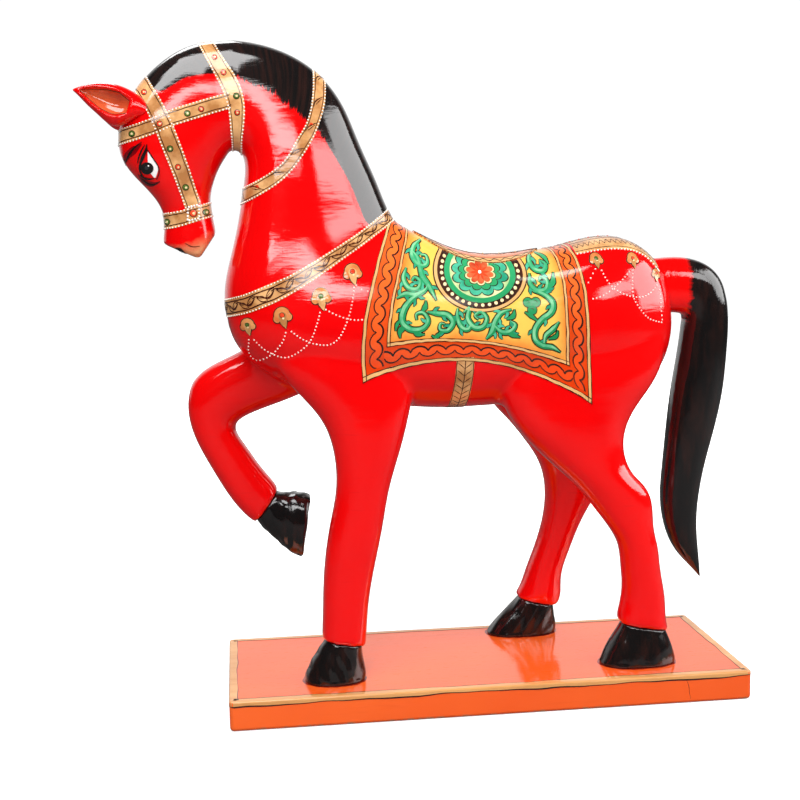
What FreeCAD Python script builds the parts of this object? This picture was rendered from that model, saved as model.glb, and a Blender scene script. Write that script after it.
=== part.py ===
import FreeCAD, Part
import math
import os

from FreeCAD import Vector

# Painted wooden horse on a plinth.
#
# The horse is glued up from carved blocks: trunk, neck, head, two ears, tail, four legs (the raised
# foreleg is mitred at the knee) and four hoof blocks. Dowels locate the glued faces, and three
# countersunk screws come up through the plinth and the standing hooves into the legs.
#
# Frame, in millimetres: +Z up, the horse faces -X and its left side faces -Y. The origin is the
# centre of the plinth's underside.

# ---- driving dimensions -------------------------------------------------------------------------

PLINTH_LENGTH = 300.0
PLINTH_WIDTH = 110.0
PLINTH_THICKNESS = 17.0
PLINTH_CORNER = 2.5      # radius of the upright corners
PLINTH_TOP_EDGE = 0.8    # radius of the edge round the top face
PLINTH_LOW_EDGE = 2.2    # radius of the edge round the underside

LEG_JOINT_HEIGHT = 168.0     # glue face between the trunk and the three standing legs
CUFF_STEP = 2.0              # how far the leg's end overhangs the hoof block all round

BODY_ROUNDNESS = 2.35        # superellipse power of the body's sections; 2 is an ellipse
LIMB_ROUNDNESS = 2.5
HOOF_ROUNDNESS = 2.3
EAR_ROUNDNESS = 2.0
SECTION_POINTS = 20          # points on each section's closed curve

GLUE_GAP = 0.05              # radial room for glue round a dowel
END_GAP = 1.0                # room past each end of a dowel

# Dowels: radius, length.
NECK_DOWEL = (5.0, 44.0)
HEAD_DOWEL = (4.0, 34.0)
FORELEG_DOWEL = (4.0, 36.0)
HIND_LEG_DOWEL = (5.0, 40.0)
SHOULDER_DOWEL = (3.0, 28.0)
KNEE_DOWEL = (3.0, 26.0)
HOOF_DOWEL = (2.5, 20.0)
TAIL_DOWEL = (4.0, 34.0)
EAR_DOWEL = (1.8, 16.0)
DOWEL_CHAMFER = 0.2          # as a share of the dowel's radius

# Where the dowels sit: shares of the way along a glue face, or centres as (x, y) on the leg joint.
# Each leg has its own size of dowel.
NECK_DOWEL_PLACES = (0.34, 0.7)
SHOULDER_DOWEL_PLACES = (0.34, 0.58)
SHOULDER_DOWEL_Y = 23.4
MIDDLE = (0.5,)
LEG_DOWELS = {
    "left_foreleg": (FORELEG_DOWEL, (-82.0, -24.0), (-58.0, -24.0)),
    "left_hind_leg": (HIND_LEG_DOWEL, (40.0, -23.5), (68.0, -23.5)),
    "right_hind_leg": (HIND_LEG_DOWEL, (40.0, 23.8), (68.0, 23.8)),
}
TAIL_DOWEL_CENTRE = (104.0, 0.0, 238.0)
EAR_DOWEL_CENTRE = (-188.0, 13.2, 336.5)     # of the right ear; the left one is its mirror image
EAR_DOWEL_DIRECTION = (-8.0, 1.6, 3.0)

# Under the left foreleg, the left hind leg and the right hind leg.
SCREW_PLACES = ((-84.0, -27.0), (96.0, -27.0), (45.0, 39.0))
SCREW_SHANK = 2.25           # radii and lengths of the plinth screws
SCREW_CORE = 1.7
SCREW_HEAD = 4.4
SCREW_LENGTH = 50.0
SCREW_SHANK_LENGTH = 20.0
SCREW_HEAD_DEPTH = 3.2
SCREW_HEAD_RIM = 0.4         # height of the straight rim below the head's cone
SCREW_SUNK = 0.8             # the head's face below the plinth's underside
SCREW_PITCH = 2.2
THREAD_LOW_SIDE = 0.3        # heights, within one pitch, of a ring's underside, top side and crest
THREAD_TOP_SIDE = 0.6
THREAD_CREST = 0.1
SCREW_TIP = 5.0
SCREW_CLEARANCE = 0.25
SLOT_WIDTH = 1.1
SLOT_DEPTH = 1.3

FAR = 600.0                  # size of the boxes that stand for half spaces
NEAR = 0.1                   # how closely an edge must lie in a face's plane to count as on it

# ---- carved shapes ------------------------------------------------------------------------------
# Every limb is a loft through sections square to the horse's side view. A section is given by the
# two points where it meets the side outline, (x, z) each, and then its half width across Y.

# Rump to muzzle: back side point, belly side point, half width, share by which the back side narrows.
BODY = [
    ((112.6, 237.0), (115.0, 215.0), 11.0, 0.0),
    ((106.6, 250.5), (112.4, 200.0), 21.0, 0.0),
    ((98.0, 260.0), (106.0, 187.0), 29.0, 0.0),
    ((86.0, 266.2), (95.0, 178.0), 34.5, 0.0),
    ((70.0, 267.2), (76.0, 173.0), 38.0, 0.0),
    ((50.0, 263.0), (54.0, 171.5), 38.5, 0.02),
    ((30.0, 259.3), (30.0, 171.0), 37.5, 0.04),
    ((10.0, 257.5), (8.0, 170.3), 36.5, 0.05),
    ((-10.0, 259.8), (-16.0, 169.6), 36.5, 0.06),
    ((-27.0, 266.2), (-42.0, 171.0), 37.0, 0.10),
    ((-38.0, 271.8), (-68.0, 175.0), 37.5, 0.14),
    ((-44.5, 275.4), (-95.0, 181.0), 37.5, 0.18),
    ((-47.8, 277.8), (-120.0, 191.0), 36.5, 0.22),
    ((-49.6, 280.0), (-137.0, 205.0), 34.5, 0.24),
    ((-51.0, 282.8), (-143.5, 218.0), 32.5, 0.25),
    ((-52.8, 287.2), (-145.8, 232.0), 30.5, 0.25),
    ((-55.8, 294.5), (-145.0, 246.0), 28.5, 0.24),
    ((-60.5, 306.0), (-141.0, 262.0), 26.5, 0.22),
    ((-66.5, 319.5), (-136.7, 280.0), 24.5, 0.20),
    ((-72.8, 335.0), (-133.6, 297.0), 22.5, 0.18),
    ((-83.2, 353.0), (-132.2, 308.5), 21.0, 0.16),
    ((-97.0, 365.6), (-133.0, 314.5), 20.0, 0.14),
    ((-115.0, 374.2), (-135.3, 318.3), 19.3, 0.12),
    ((-137.0, 378.3), (-138.0, 319.8), 19.0, 0.10),
    ((-158.0, 375.8), (-140.6, 317.6), 19.0, 0.08),
    ((-178.0, 365.0), (-143.0, 314.0), 19.5, 0.04),
    ((-192.5, 349.0), (-145.6, 310.0), 20.0, 0.0),
    ((-200.8, 329.0), (-148.2, 304.8), 19.5, -0.05),
    ((-199.8, 314.0), (-150.3, 299.0), 17.8, -0.05),
    ((-190.5, 301.0), (-151.8, 292.0), 15.8, 0.0),
    ((-180.5, 288.5), (-151.6, 285.0), 14.2, 0.05),
    ((-178.2, 275.0), (-149.6, 274.0), 14.2, 0.08),
    ((-178.0, 262.0), (-148.5, 262.0), 13.8, 0.08),
    ((-177.0, 250.0), (-149.0, 250.0), 13.0, 0.08),
]
COLLAR_STATION = 15    # the glue faces lie on these sections: under the collar
POLL_STATION = 23      # and under the strap round the poll
NOSE_CUT = ((-178.0, 266.4), (-159.0, 258.2))      # flat end of the nose
CHIN_CUT = ((-159.0, 258.2), (-148.6, 273.5))      # flat under the lip

# Legs, from the end upwards: front point, back point, centre in y, half width.
LEFT_FORELEG = [
    ((-96.5, 42.0), (-71.5, 37.0), -27.0, 11.5),
    ((-95.6, 62.0), (-69.6, 60.0), -27.0, 11.5),
    ((-94.3, 83.0), (-65.8, 82.0), -26.8, 11.8),
    ((-91.6, 102.0), (-61.6, 101.0), -26.5, 12.3),
    ((-88.2, 118.0), (-58.6, 117.0), -26.0, 13.0),
    ((-86.3, 136.0), (-54.6, 134.0), -25.4, 13.8),
    ((-88.6, 154.0), (-49.2, 151.0), -24.6, 14.8),
    ((-94.5, 168.0), (-44.6, 168.0), -23.6, 15.8),
    ((-106.0, 182.0), (-41.5, 181.0), -22.4, 16.4),
    ((-118.0, 197.0), (-42.0, 196.0), -21.2, 16.4),
    ((-118.0, 215.0), (-54.0, 212.0), -20.0, 14.5),
    ((-106.0, 232.0), (-68.0, 230.0), -17.0, 10.5),
]
LEFT_HIND_LEG = [
    ((78.4, 42.2), (108.8, 36.6), -27.0, 12.0),
    ((80.4, 55.0), (106.2, 52.5), -27.0, 11.6),
    ((81.0, 67.0), (104.4, 65.5), -27.0, 11.5),
    ((79.8, 80.0), (102.2, 79.0), -27.0, 11.6),
    ((75.8, 94.0), (99.8, 93.0), -26.6, 12.0),
    ((66.0, 108.0), (98.2, 107.5), -26.2, 12.6),
    ((56.8, 119.5), (95.6, 119.5), -25.8, 13.4),
    ((46.8, 130.0), (87.0, 130.0), -25.4, 14.2),
    ((34.0, 142.0), (81.2, 142.5), -25.0, 15.0),
    ((22.2, 154.5), (81.5, 155.5), -24.4, 16.0),
    ((13.2, 168.0), (87.4, 168.0), -23.2, 16.8),
    ((8.0, 184.0), (98.5, 183.0), -21.8, 17.6),
    ((11.0, 202.0), (105.5, 199.0), -20.6, 16.8),
    ((25.0, 221.0), (105.0, 216.0), -19.0, 17.8),
    ((44.0, 237.0), (97.0, 231.0), -17.0, 14.5),
]
RIGHT_HIND_LEG = [
    ((31.0, 41.0), (57.2, 34.5), 39.0, 11.3),
    ((37.6, 55.0), (60.4, 51.5), 38.4, 11.3),
    ((43.2, 71.0), (64.6, 69.0), 37.2, 11.5),
    ((47.8, 88.0), (70.8, 86.5), 35.2, 12.0),
    ((49.4, 103.0), (78.4, 102.0), 33.2, 12.6),
    ((48.2, 117.0), (85.6, 116.0), 31.0, 13.4),
    ((43.8, 130.0), (86.6, 130.0), 29.0, 14.2),
    ((35.2, 143.0), (82.4, 143.5), 27.0, 15.0),
    ((24.6, 156.0), (82.2, 156.5), 25.2, 16.0),
    ((13.8, 168.0), (87.4, 168.0), 23.6, 16.8),
    ((8.0, 184.0), (98.5, 183.0), 21.8, 17.6),
    ((11.0, 202.0), (105.5, 199.0), 20.6, 16.8),
    ((25.0, 221.0), (105.0, 216.0), 19.0, 17.8),
    ((44.0, 237.0), (97.0, 231.0), 17.0, 14.5),
]
# Raised foreleg, from the shoulder outwards: upper point, under point, centre in y, half width.
RIGHT_FORELEG = [
    ((-104.0, 224.0), (-84.0, 188.0), 18.0, 11.5),
    ((-122.0, 212.5), (-98.0, 179.5), 21.5, 14.5),
    ((-138.0, 203.0), (-113.0, 173.0), 24.0, 15.2),
    ((-151.5, 196.5), (-127.0, 168.0), 25.4, 14.8),
    ((-162.5, 189.5), (-136.0, 164.2), 26.0, 14.2),
    ((-168.8, 178.0), (-141.3, 160.4), 26.2, 13.6),
    ((-169.4, 165.5), (-141.8, 155.5), 26.2, 13.0),
    ((-165.0, 149.5), (-136.8, 146.8), 26.0, 12.5),
    ((-157.0, 133.5), (-130.2, 136.6), 25.8, 12.0),
    ((-148.2, 118.0), (-124.0, 128.2), 25.6, 11.7),
    ((-140.2, 107.0), (-120.2, 123.4), 25.4, 11.5),
    ((-132.2, 99.6), (-117.8, 119.4), 25.4, 11.4),
]
KNEE_STATION = 5                                    # the section that the knee's glue face lies on
SHOULDER_JOINT = ((-141.0, 206.0), (-100.0, 171.5))  # glue face of the raised foreleg, clear of the chest

# Hoof blocks below their cuffs: toe point, heel point, centre in y, half width.
LEFT_FORE_HOOF = [
    ((-101.0, 31.0), (-72.6, 28.0), -27.0, 11.6),
    ((-105.2, 22.5), (-71.8, 21.0), -27.0, 12.8),
    ((-107.2, 17.0), (-72.2, 17.0), -27.0, 13.2),
]
LEFT_HIND_HOOF = [
    ((74.2, 31.0), (110.0, 28.0), -27.0, 12.2),
    ((69.2, 22.5), (112.2, 21.0), -27.0, 13.6),
    ((67.4, 17.0), (113.0, 17.0), -27.0, 14.0),
]
RIGHT_HIND_HOOF = [
    ((23.6, 30.5), (56.6, 27.0), 39.2, 11.0),
    ((15.6, 22.0), (57.4, 21.0), 39.4, 12.0),
    ((12.8, 17.0), (57.2, 17.0), 39.4, 12.2),
]
RIGHT_FORE_HOOF = [
    ((-123.6, 92.0), (-110.5, 117.0), 25.4, 10.6),
    ((-113.0, 81.8), (-102.0, 116.2), 25.4, 12.4),
    ((-104.6, 76.6), (-98.2, 114.6), 25.4, 12.8),
]

# Tail, from inside the rump to the tip: outer point, inner point, half width.
TAIL = [
    ((102.0, 254.0), (104.0, 222.0), 11.5),
    ((112.0, 254.6), (114.0, 222.2), 12.0),
    ((121.5, 254.8), (122.0, 221.6), 12.6),
    ((133.0, 252.6), (125.2, 220.4), 13.0),
    ((143.0, 246.4), (125.8, 218.6), 13.2),
    ((149.6, 234.0), (125.4, 215.4), 13.2),
    ((152.0, 217.5), (124.4, 209.0), 13.0),
    ((151.4, 197.0), (122.2, 194.0), 12.8),
    ((149.4, 174.0), (118.6, 172.0), 12.4),
    ((144.4, 150.0), (116.0, 148.0), 11.8),
    ((138.4, 126.0), (114.0, 125.0), 11.0),
    ((135.4, 105.0), (113.4, 106.0), 9.8),
    ((135.4, 88.0), (117.4, 87.0), 8.0),
    ((137.0, 74.0), (124.6, 74.0), 5.6),
    ((138.4, 63.5), (133.4, 64.4), 2.6),
    ((139.2, 58.0), (138.4, 58.2), 0.6),
]
TAIL_BEND = 5    # the section at which the tail turns down

# Ears, from inside the head to the tip: upper point, lower point, distance from the middle, half width.
EAR = [
    ((-182.0, 342.0), (-187.0, 334.0), 12.0, 6.0),
    ((-188.6, 347.2), (-194.6, 332.0), 14.0, 6.8),
    ((-197.2, 351.6), (-203.0, 330.8), 15.8, 7.4),
    ((-206.2, 353.2), (-210.0, 336.2), 16.8, 6.4),
    ((-214.0, 352.6), (-216.0, 342.0), 17.4, 4.6),
    ((-220.0, 350.9), (-220.6, 347.0), 17.8, 2.2),
    ((-222.8, 349.6), (-222.9, 349.0), 18.0, 0.6),
]
EAR_HOLLOW = [
    ((-190.8, 344.0), (-194.8, 336.4), 22.8, 3.4),
    ((-197.4, 348.4), (-201.6, 335.2), 22.6, 5.8),
    ((-206.0, 350.4), (-209.2, 339.0), 22.4, 6.0),
    ((-213.4, 350.6), (-214.8, 344.0), 21.4, 4.4),
    ((-218.6, 349.8), (-219.0, 347.9), 20.6, 2.0),
]


# ---- building blocks ----------------------------------------------------------------------------

def signed_power(value, power):
    return math.copysign(abs(value) ** power, value)


def section(first, second, y, half_width, roundness, narrowing=0.0):
    """A closed superellipse between two outline points, half_width to each side of y."""
    centre = Vector((first[0] + second[0]) / 2, y, (first[1] + second[1]) / 2)
    reach = Vector((first[0] - second[0]) / 2, 0, (first[1] - second[1]) / 2)
    points = []
    for i in range(SECTION_POINTS):
        turn = 2 * math.pi * i / SECTION_POINTS
        along = signed_power(math.cos(turn), 2 / roundness)
        across = signed_power(math.sin(turn), 2 / roundness) * (1 - narrowing * along)
        points.append(centre + reach * along + Vector(0, half_width * across, 0))
    curve = Part.BSplineCurve()
    curve.interpolate(Points=points, PeriodicFlag=True)
    return Part.Wire([curve.toShape()])


def loft(wires):
    solid = Part.makeLoft(wires, True, False)
    if solid.Volume < 0:
        solid.reverse()
    return solid


def limb(stations, roundness=LIMB_ROUNDNESS, side=1):
    """A loft through stations of (first point, second point, y, half width)."""
    return loft([section(a, b, side * y, w, roundness) for a, b, y, w in stations])


def behind(line):
    """All that lies to the right of a line, going from its first point to its second.

    The line is drawn in the side view, with +X to the right and +Z up.
    """
    (x0, z0), (x1, z1) = line
    angle = math.degrees(math.atan2(z1 - z0, x1 - x0))
    box = Part.makeBox(2 * FAR, 2 * FAR, FAR, Vector(-FAR, -FAR, -FAR))
    box.rotate(Vector(0, 0, 0), Vector(0, 1, 0), -angle)
    box.translate(Vector(x0, 0, z0))
    return box


def rod(centre, direction, radius, length):
    direction = Vector(*direction).normalize()
    start = Vector(*centre) - direction * (length / 2)
    return Part.makeCylinder(radius, length, start, direction)


def dowel(centre, direction, size):
    """(the dowel with chamfered ends, the hole it needs). size is (radius, length)."""
    radius, length = size
    chamfer = radius * DOWEL_CHAMFER
    solid = rod(centre, direction, radius, length)
    rims = [e for e in solid.Edges if isinstance(e.Curve, Part.Circle)]
    solid = solid.makeChamfer(chamfer, rims)
    hole = rod(centre, direction, radius + GLUE_GAP, length + 2 * END_GAP)
    return solid, hole


def joint_dowels(line, places, y, size):
    """Dowels square to a glue face. places are shares of the way along the face's line."""
    (x0, z0), (x1, z1) = line
    across = (-(z1 - z0), 0, x1 - x0)
    centres = [(x0 + share * (x1 - x0), y, z0 + share * (z1 - z0)) for share in places]
    return [dowel(c, across, size) for c in centres]


def single(shape):
    """The largest solid that a cut leaves."""
    return max(shape.Solids, key=lambda s: s.Volume)


def drilled(shape, *dowel_sets):
    for made in dowel_sets:
        for _, hole in made:
            shape = shape.cut(hole)
    return single(shape)


def export(name, *solids):
    shape = solids[0] if len(solids) == 1 else Part.makeCompound(solids)
    shape.exportStep(f"parts/{name}.step")
    volume = sum(s.Volume for s in shape.Solids)
    print(f"{name}: {len(shape.Solids)} solid, valid {shape.isValid()}, {volume / 1000:.1f} cm3")


# ---- the blocks of the horse --------------------------------------------------------------------

def body_blocks():
    """Trunk, neck and head: lofts that meet on the sections at the collar and the poll."""
    wires = [section(a, b, 0, w, BODY_ROUNDNESS, n) for a, b, w, n in BODY]
    trunk = loft(wires[:COLLAR_STATION + 1])
    neck = loft(wires[COLLAR_STATION:POLL_STATION + 1])
    head = loft(wires[POLL_STATION:])
    head = single(head.cut(behind(NOSE_CUT)))
    head = single(head.cut(behind(CHIN_CUT)))
    return trunk, neck, head


def standing_leg(stations):
    """(the leg block, its stub on the trunk)"""
    whole = limb(stations)
    under = Part.makeBox(2 * FAR, 2 * FAR, FAR, Vector(-FAR, -FAR, LEG_JOINT_HEIGHT - FAR))
    return single(whole.common(under)), single(whole.cut(under))


def raised_leg():
    """(the upper block, the lower block, the stub on the trunk)"""
    upper = limb(RIGHT_FORELEG[:KNEE_STATION + 1])
    lower = limb(RIGHT_FORELEG[KNEE_STATION:])
    stub = single(upper.cut(behind(SHOULDER_JOINT)))
    return single(upper.common(behind(SHOULDER_JOINT))), lower, stub


def hoof(leg_end, stations):
    """A hoof block that starts inside the outline of the leg's end, on the same plane."""
    (x0, z0), (x1, z1), y, half_width = leg_end
    span = math.hypot(x1 - x0, z1 - z0)
    dx, dz = (x1 - x0) * CUFF_STEP / span, (z1 - z0) * CUFF_STEP / span
    top = ((x0 + dx, z0 + dz), (x1 - dx, z1 - dz), y, half_width - CUFF_STEP)
    return limb([top] + stations, HOOF_ROUNDNESS)


def ear(side, head):
    shell = limb(EAR, EAR_ROUNDNESS, side).cut(limb(EAR_HOLLOW, EAR_ROUNDNESS, side))
    return single(shell.cut(head))


def tail_block():
    wires = [section(a, b, 0, w, LIMB_ROUNDNESS) for a, b, w in TAIL]
    root = loft(wires[:TAIL_BEND + 1])
    return single(root.fuse(loft(wires[TAIL_BEND:])))


# ---- plinth and screws --------------------------------------------------------------------------

def screw(x, y):
    """A slotted countersunk wood screw driven upwards; its thread is a row of rings."""
    z = SCREW_SUNK
    rise = z + SCREW_SHANK_LENGTH
    top = z + SCREW_LENGTH - SCREW_TIP
    profile = [(0, z), (SCREW_HEAD, z), (SCREW_HEAD, z + SCREW_HEAD_RIM)]
    profile += [(SCREW_SHANK, z + SCREW_HEAD_DEPTH), (SCREW_SHANK, rise)]
    while rise + SCREW_PITCH < top:
        ring = rise + SCREW_PITCH
        profile += [(SCREW_CORE, rise + THREAD_LOW_SIDE), (SCREW_CORE, ring - THREAD_TOP_SIDE)]
        profile += [(SCREW_SHANK, ring - THREAD_CREST), (SCREW_SHANK, ring)]
        rise = ring
    profile += [(SCREW_CORE, rise + THREAD_LOW_SIDE), (SCREW_CORE, top), (0, z + SCREW_LENGTH)]
    points = [Vector(x + r, y, h) for r, h in profile]
    face = Part.Face(Part.makePolygon(points + [points[0]]))
    body = face.revolve(Vector(x, y, 0), Vector(0, 0, 1), 360)
    slot = Part.makeBox(2 * SCREW_HEAD, SLOT_WIDTH, SLOT_DEPTH)
    slot.translate(Vector(x - SCREW_HEAD, y - SLOT_WIDTH / 2, z))
    return single(body.cut(slot))


def screw_hole(x, y):
    """Countersink and clearance through the plinth, then a snug pilot in the hoof and the leg."""
    wide = SCREW_SHANK + SCREW_CLEARANCE
    head = SCREW_HEAD + SCREW_CLEARANCE
    sunk_to = SCREW_SUNK + SCREW_HEAD_RIM
    countersink = Part.makeCylinder(head, sunk_to, Vector(x, y, 0))
    cone_depth = SCREW_HEAD_DEPTH - SCREW_HEAD_RIM + SCREW_CLEARANCE
    cone = Part.makeCone(head, wide, cone_depth, Vector(x, y, sunk_to))
    clearance = Part.makeCylinder(wide, PLINTH_THICKNESS, Vector(x, y, 0))
    pilot_length = SCREW_SUNK + SCREW_LENGTH + END_GAP - PLINTH_THICKNESS
    pilot = Part.makeCylinder(SCREW_SHANK + GLUE_GAP, pilot_length, Vector(x, y, PLINTH_THICKNESS))
    return countersink.fuse([cone, clearance]), pilot


def plinth():
    corner = Vector(-PLINTH_LENGTH / 2, -PLINTH_WIDTH / 2, 0)
    board = Part.makeBox(PLINTH_LENGTH, PLINTH_WIDTH, PLINTH_THICKNESS, corner)
    upright = [e for e in board.Edges if e.BoundBox.ZLength > PLINTH_THICKNESS - NEAR]
    board = board.makeFillet(PLINTH_CORNER, upright)
    top = [e for e in board.Edges if e.BoundBox.ZMin > PLINTH_THICKNESS - NEAR]
    board = board.makeFillet(PLINTH_TOP_EDGE, top)
    low = [e for e in board.Edges if e.BoundBox.ZMax < NEAR]
    return board.makeFillet(PLINTH_LOW_EDGE, low)


# ---- the whole horse ----------------------------------------------------------------------------

def build():
    os.makedirs("parts", exist_ok=True)

    trunk, neck, head = body_blocks()
    legs = {}
    stations = {
        "left_foreleg": LEFT_FORELEG,
        "left_hind_leg": LEFT_HIND_LEG,
        "right_hind_leg": RIGHT_HIND_LEG,
    }
    for name, rows in stations.items():
        legs[name], stub = standing_leg(rows)
        trunk = trunk.fuse(stub)
    arm, forearm, stub = raised_leg()
    tail = tail_block()
    trunk = single(trunk.fuse(stub).cut(tail))    # the tail is let into the rump

    hooves = {
        "left_fore_hoof": hoof(LEFT_FORELEG[0], LEFT_FORE_HOOF),
        "left_hind_hoof": hoof(LEFT_HIND_LEG[0], LEFT_HIND_HOOF),
        "right_hind_hoof": hoof(RIGHT_HIND_LEG[0], RIGHT_HIND_HOOF),
        "right_fore_hoof": hoof(RIGHT_FORELEG[-1], RIGHT_FORE_HOOF),
    }

    neck_pegs = joint_dowels(BODY[COLLAR_STATION][:2], NECK_DOWEL_PLACES, 0, NECK_DOWEL)
    head_pegs = joint_dowels(BODY[POLL_STATION][:2], NECK_DOWEL_PLACES, 0, HEAD_DOWEL)
    leg_pegs = {}
    for name, (size, *centres) in LEG_DOWELS.items():
        leg_pegs[name] = [dowel((x, y, LEG_JOINT_HEIGHT), (0, 0, 1), size) for x, y in centres]
    arm_pegs = joint_dowels(SHOULDER_JOINT, SHOULDER_DOWEL_PLACES, SHOULDER_DOWEL_Y, SHOULDER_DOWEL)
    knee_front, knee_back, knee_y, _ = RIGHT_FORELEG[KNEE_STATION]
    knee_peg = joint_dowels((knee_front, knee_back), MIDDLE, knee_y, KNEE_DOWEL)
    end_front, end_back, end_y, _ = RIGHT_FORELEG[-1]
    hoof_peg = joint_dowels((end_front, end_back), MIDDLE, end_y, HOOF_DOWEL)
    tail_peg = [dowel(TAIL_DOWEL_CENTRE, (1, 0, 0), TAIL_DOWEL)]
    ear_pegs = {}
    x, y, z = EAR_DOWEL_CENTRE
    dx, dy, dz = EAR_DOWEL_DIRECTION
    for name, side in (("left_ear", -1), ("right_ear", 1)):
        ear_pegs[name] = [dowel((x, side * y, z), (dx, side * dy, dz), EAR_DOWEL)]

    screws, plinth_holes, pilots = [], [], []
    for x, y in SCREW_PLACES:
        screws.append(screw(x, y))
        hole, pilot = screw_hole(x, y)
        plinth_holes.append(hole)
        pilots.append(pilot)

    board = plinth()
    for hole in plinth_holes:
        board = board.cut(hole)
    export("plinth", single(board))

    export("trunk", drilled(trunk, neck_pegs, *leg_pegs.values(), arm_pegs, tail_peg))
    export("neck", drilled(neck, neck_pegs, head_pegs))
    ears = {name: ear(side, head) for name, side in (("left_ear", -1), ("right_ear", 1))}
    export("head", drilled(head, head_pegs, ear_pegs["left_ear"], ear_pegs["right_ear"]))
    for name, solid in ears.items():
        export(name, drilled(solid, ear_pegs[name]))
    export("tail", drilled(tail, tail_peg))

    for (name, solid), pilot in zip(legs.items(), pilots):
        export(name, single(drilled(solid, leg_pegs[name]).cut(pilot)))
    export("right_foreleg_upper", drilled(arm, arm_pegs, knee_peg))
    export("right_foreleg_lower", drilled(forearm, knee_peg, hoof_peg))
    standing = ("left_fore_hoof", "left_hind_hoof", "right_hind_hoof")
    for name, pilot in zip(standing, pilots):
        export(name, single(hooves[name].cut(pilot)))
    export("right_fore_hoof", drilled(hooves["right_fore_hoof"], hoof_peg))

    groups = {
        "neck_dowels": neck_pegs,
        "head_dowels": head_pegs,
        "left_foreleg_dowels": leg_pegs["left_foreleg"],
        "left_hind_leg_dowels": leg_pegs["left_hind_leg"],
        "right_hind_leg_dowels": leg_pegs["right_hind_leg"],
        "right_foreleg_dowels": arm_pegs,
        "right_knee_dowel": knee_peg,
        "right_fore_hoof_dowel": hoof_peg,
        "tail_dowel": tail_peg,
        "ear_dowels": ear_pegs["left_ear"] + ear_pegs["right_ear"],
    }
    for name, made in groups.items():
        export(name, *[solid for solid, _ in made])
    export("plinth_screws", *screws)


build()
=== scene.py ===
import math
import random

import bmesh
import bpy
import numpy as np
from mathutils import Matrix, Vector
from mathutils.bvhtree import BVHTree


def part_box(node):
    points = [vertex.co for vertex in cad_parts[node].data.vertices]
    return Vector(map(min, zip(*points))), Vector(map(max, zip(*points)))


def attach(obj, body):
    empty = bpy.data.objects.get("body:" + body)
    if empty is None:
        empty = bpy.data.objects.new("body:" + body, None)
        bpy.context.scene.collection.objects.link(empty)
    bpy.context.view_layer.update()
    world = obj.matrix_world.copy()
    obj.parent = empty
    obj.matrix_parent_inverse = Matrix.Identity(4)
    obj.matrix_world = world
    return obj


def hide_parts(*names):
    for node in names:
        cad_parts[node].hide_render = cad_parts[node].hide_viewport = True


# A painted wooden horse. The carved blocks come from the CAD frame: they are merged, softened where
# legs and body meet, and parted again at the glue faces. All painted ornament is laid on that skin as
# thin raised paint. Lengths in the tables below are millimetres in the side view, (x, z).

MM = 0.001

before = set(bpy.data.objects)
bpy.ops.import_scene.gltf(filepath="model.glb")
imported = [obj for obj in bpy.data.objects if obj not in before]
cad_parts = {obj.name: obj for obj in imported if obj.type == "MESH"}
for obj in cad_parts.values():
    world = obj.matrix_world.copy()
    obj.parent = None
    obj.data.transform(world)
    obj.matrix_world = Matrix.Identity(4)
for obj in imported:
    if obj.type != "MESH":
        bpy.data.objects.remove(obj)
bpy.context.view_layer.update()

RED_BLOCKS = ["trunk", "neck", "head", "left_foreleg", "left_hind_leg", "right_hind_leg",
              "right_foreleg_upper", "right_foreleg_lower"]
GLUE_FACES = [("trunk", "neck"), ("neck", "head"), ("trunk", "left_foreleg"),
              ("trunk", "left_hind_leg"), ("trunk", "right_hind_leg"),
              ("trunk", "right_foreleg_upper"), ("right_foreleg_upper", "right_foreleg_lower")]
HOOVES = ["left_fore_hoof", "left_hind_hoof", "right_hind_hoof", "right_fore_hoof"]
EARS = ["left_ear", "right_ear"]
DOWELS = [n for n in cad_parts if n.endswith("dowels") or n.endswith("dowel")]

# Sizes of the remeshing voxels, mm.
BODY_VOXEL = 1.5
EAR_VOXEL = 0.5
HOOF_VOXEL = 0.7
TAIL_VOXEL = 0.9

FILLET_ROUNDS = 90       # rounds of filling in the creases between the body's blocks
CREASE_FLOOR = 0.05      # a hollow gentler than this, in mm per round, is left alone
NECK_SWELL = 1.5         # how much fuller the neck is than its block under its upper band, mm
SHARED_GAP = 0.03        # CAD faces closer than this are glue faces, mm
CUT_REACH = 5            # how far round a glue face the skin is cut along its plane, mm
BESIDE = 300             # well to one side of the horse, mm

FLOOR_SIZE = 3.0         # metres from the middle to each side
CAMERA_PLACE = (-0.13977, -0.71926, 0.27046)
CAMERA_TURN = (7.42, 7.56, -0.79)    # yaw, pitch and roll in degrees
CAMERA_LENS = 56.25
SENSOR_WIDTH = 36.0


# ---- materials ----------------------------------------------------------------------------------

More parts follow.
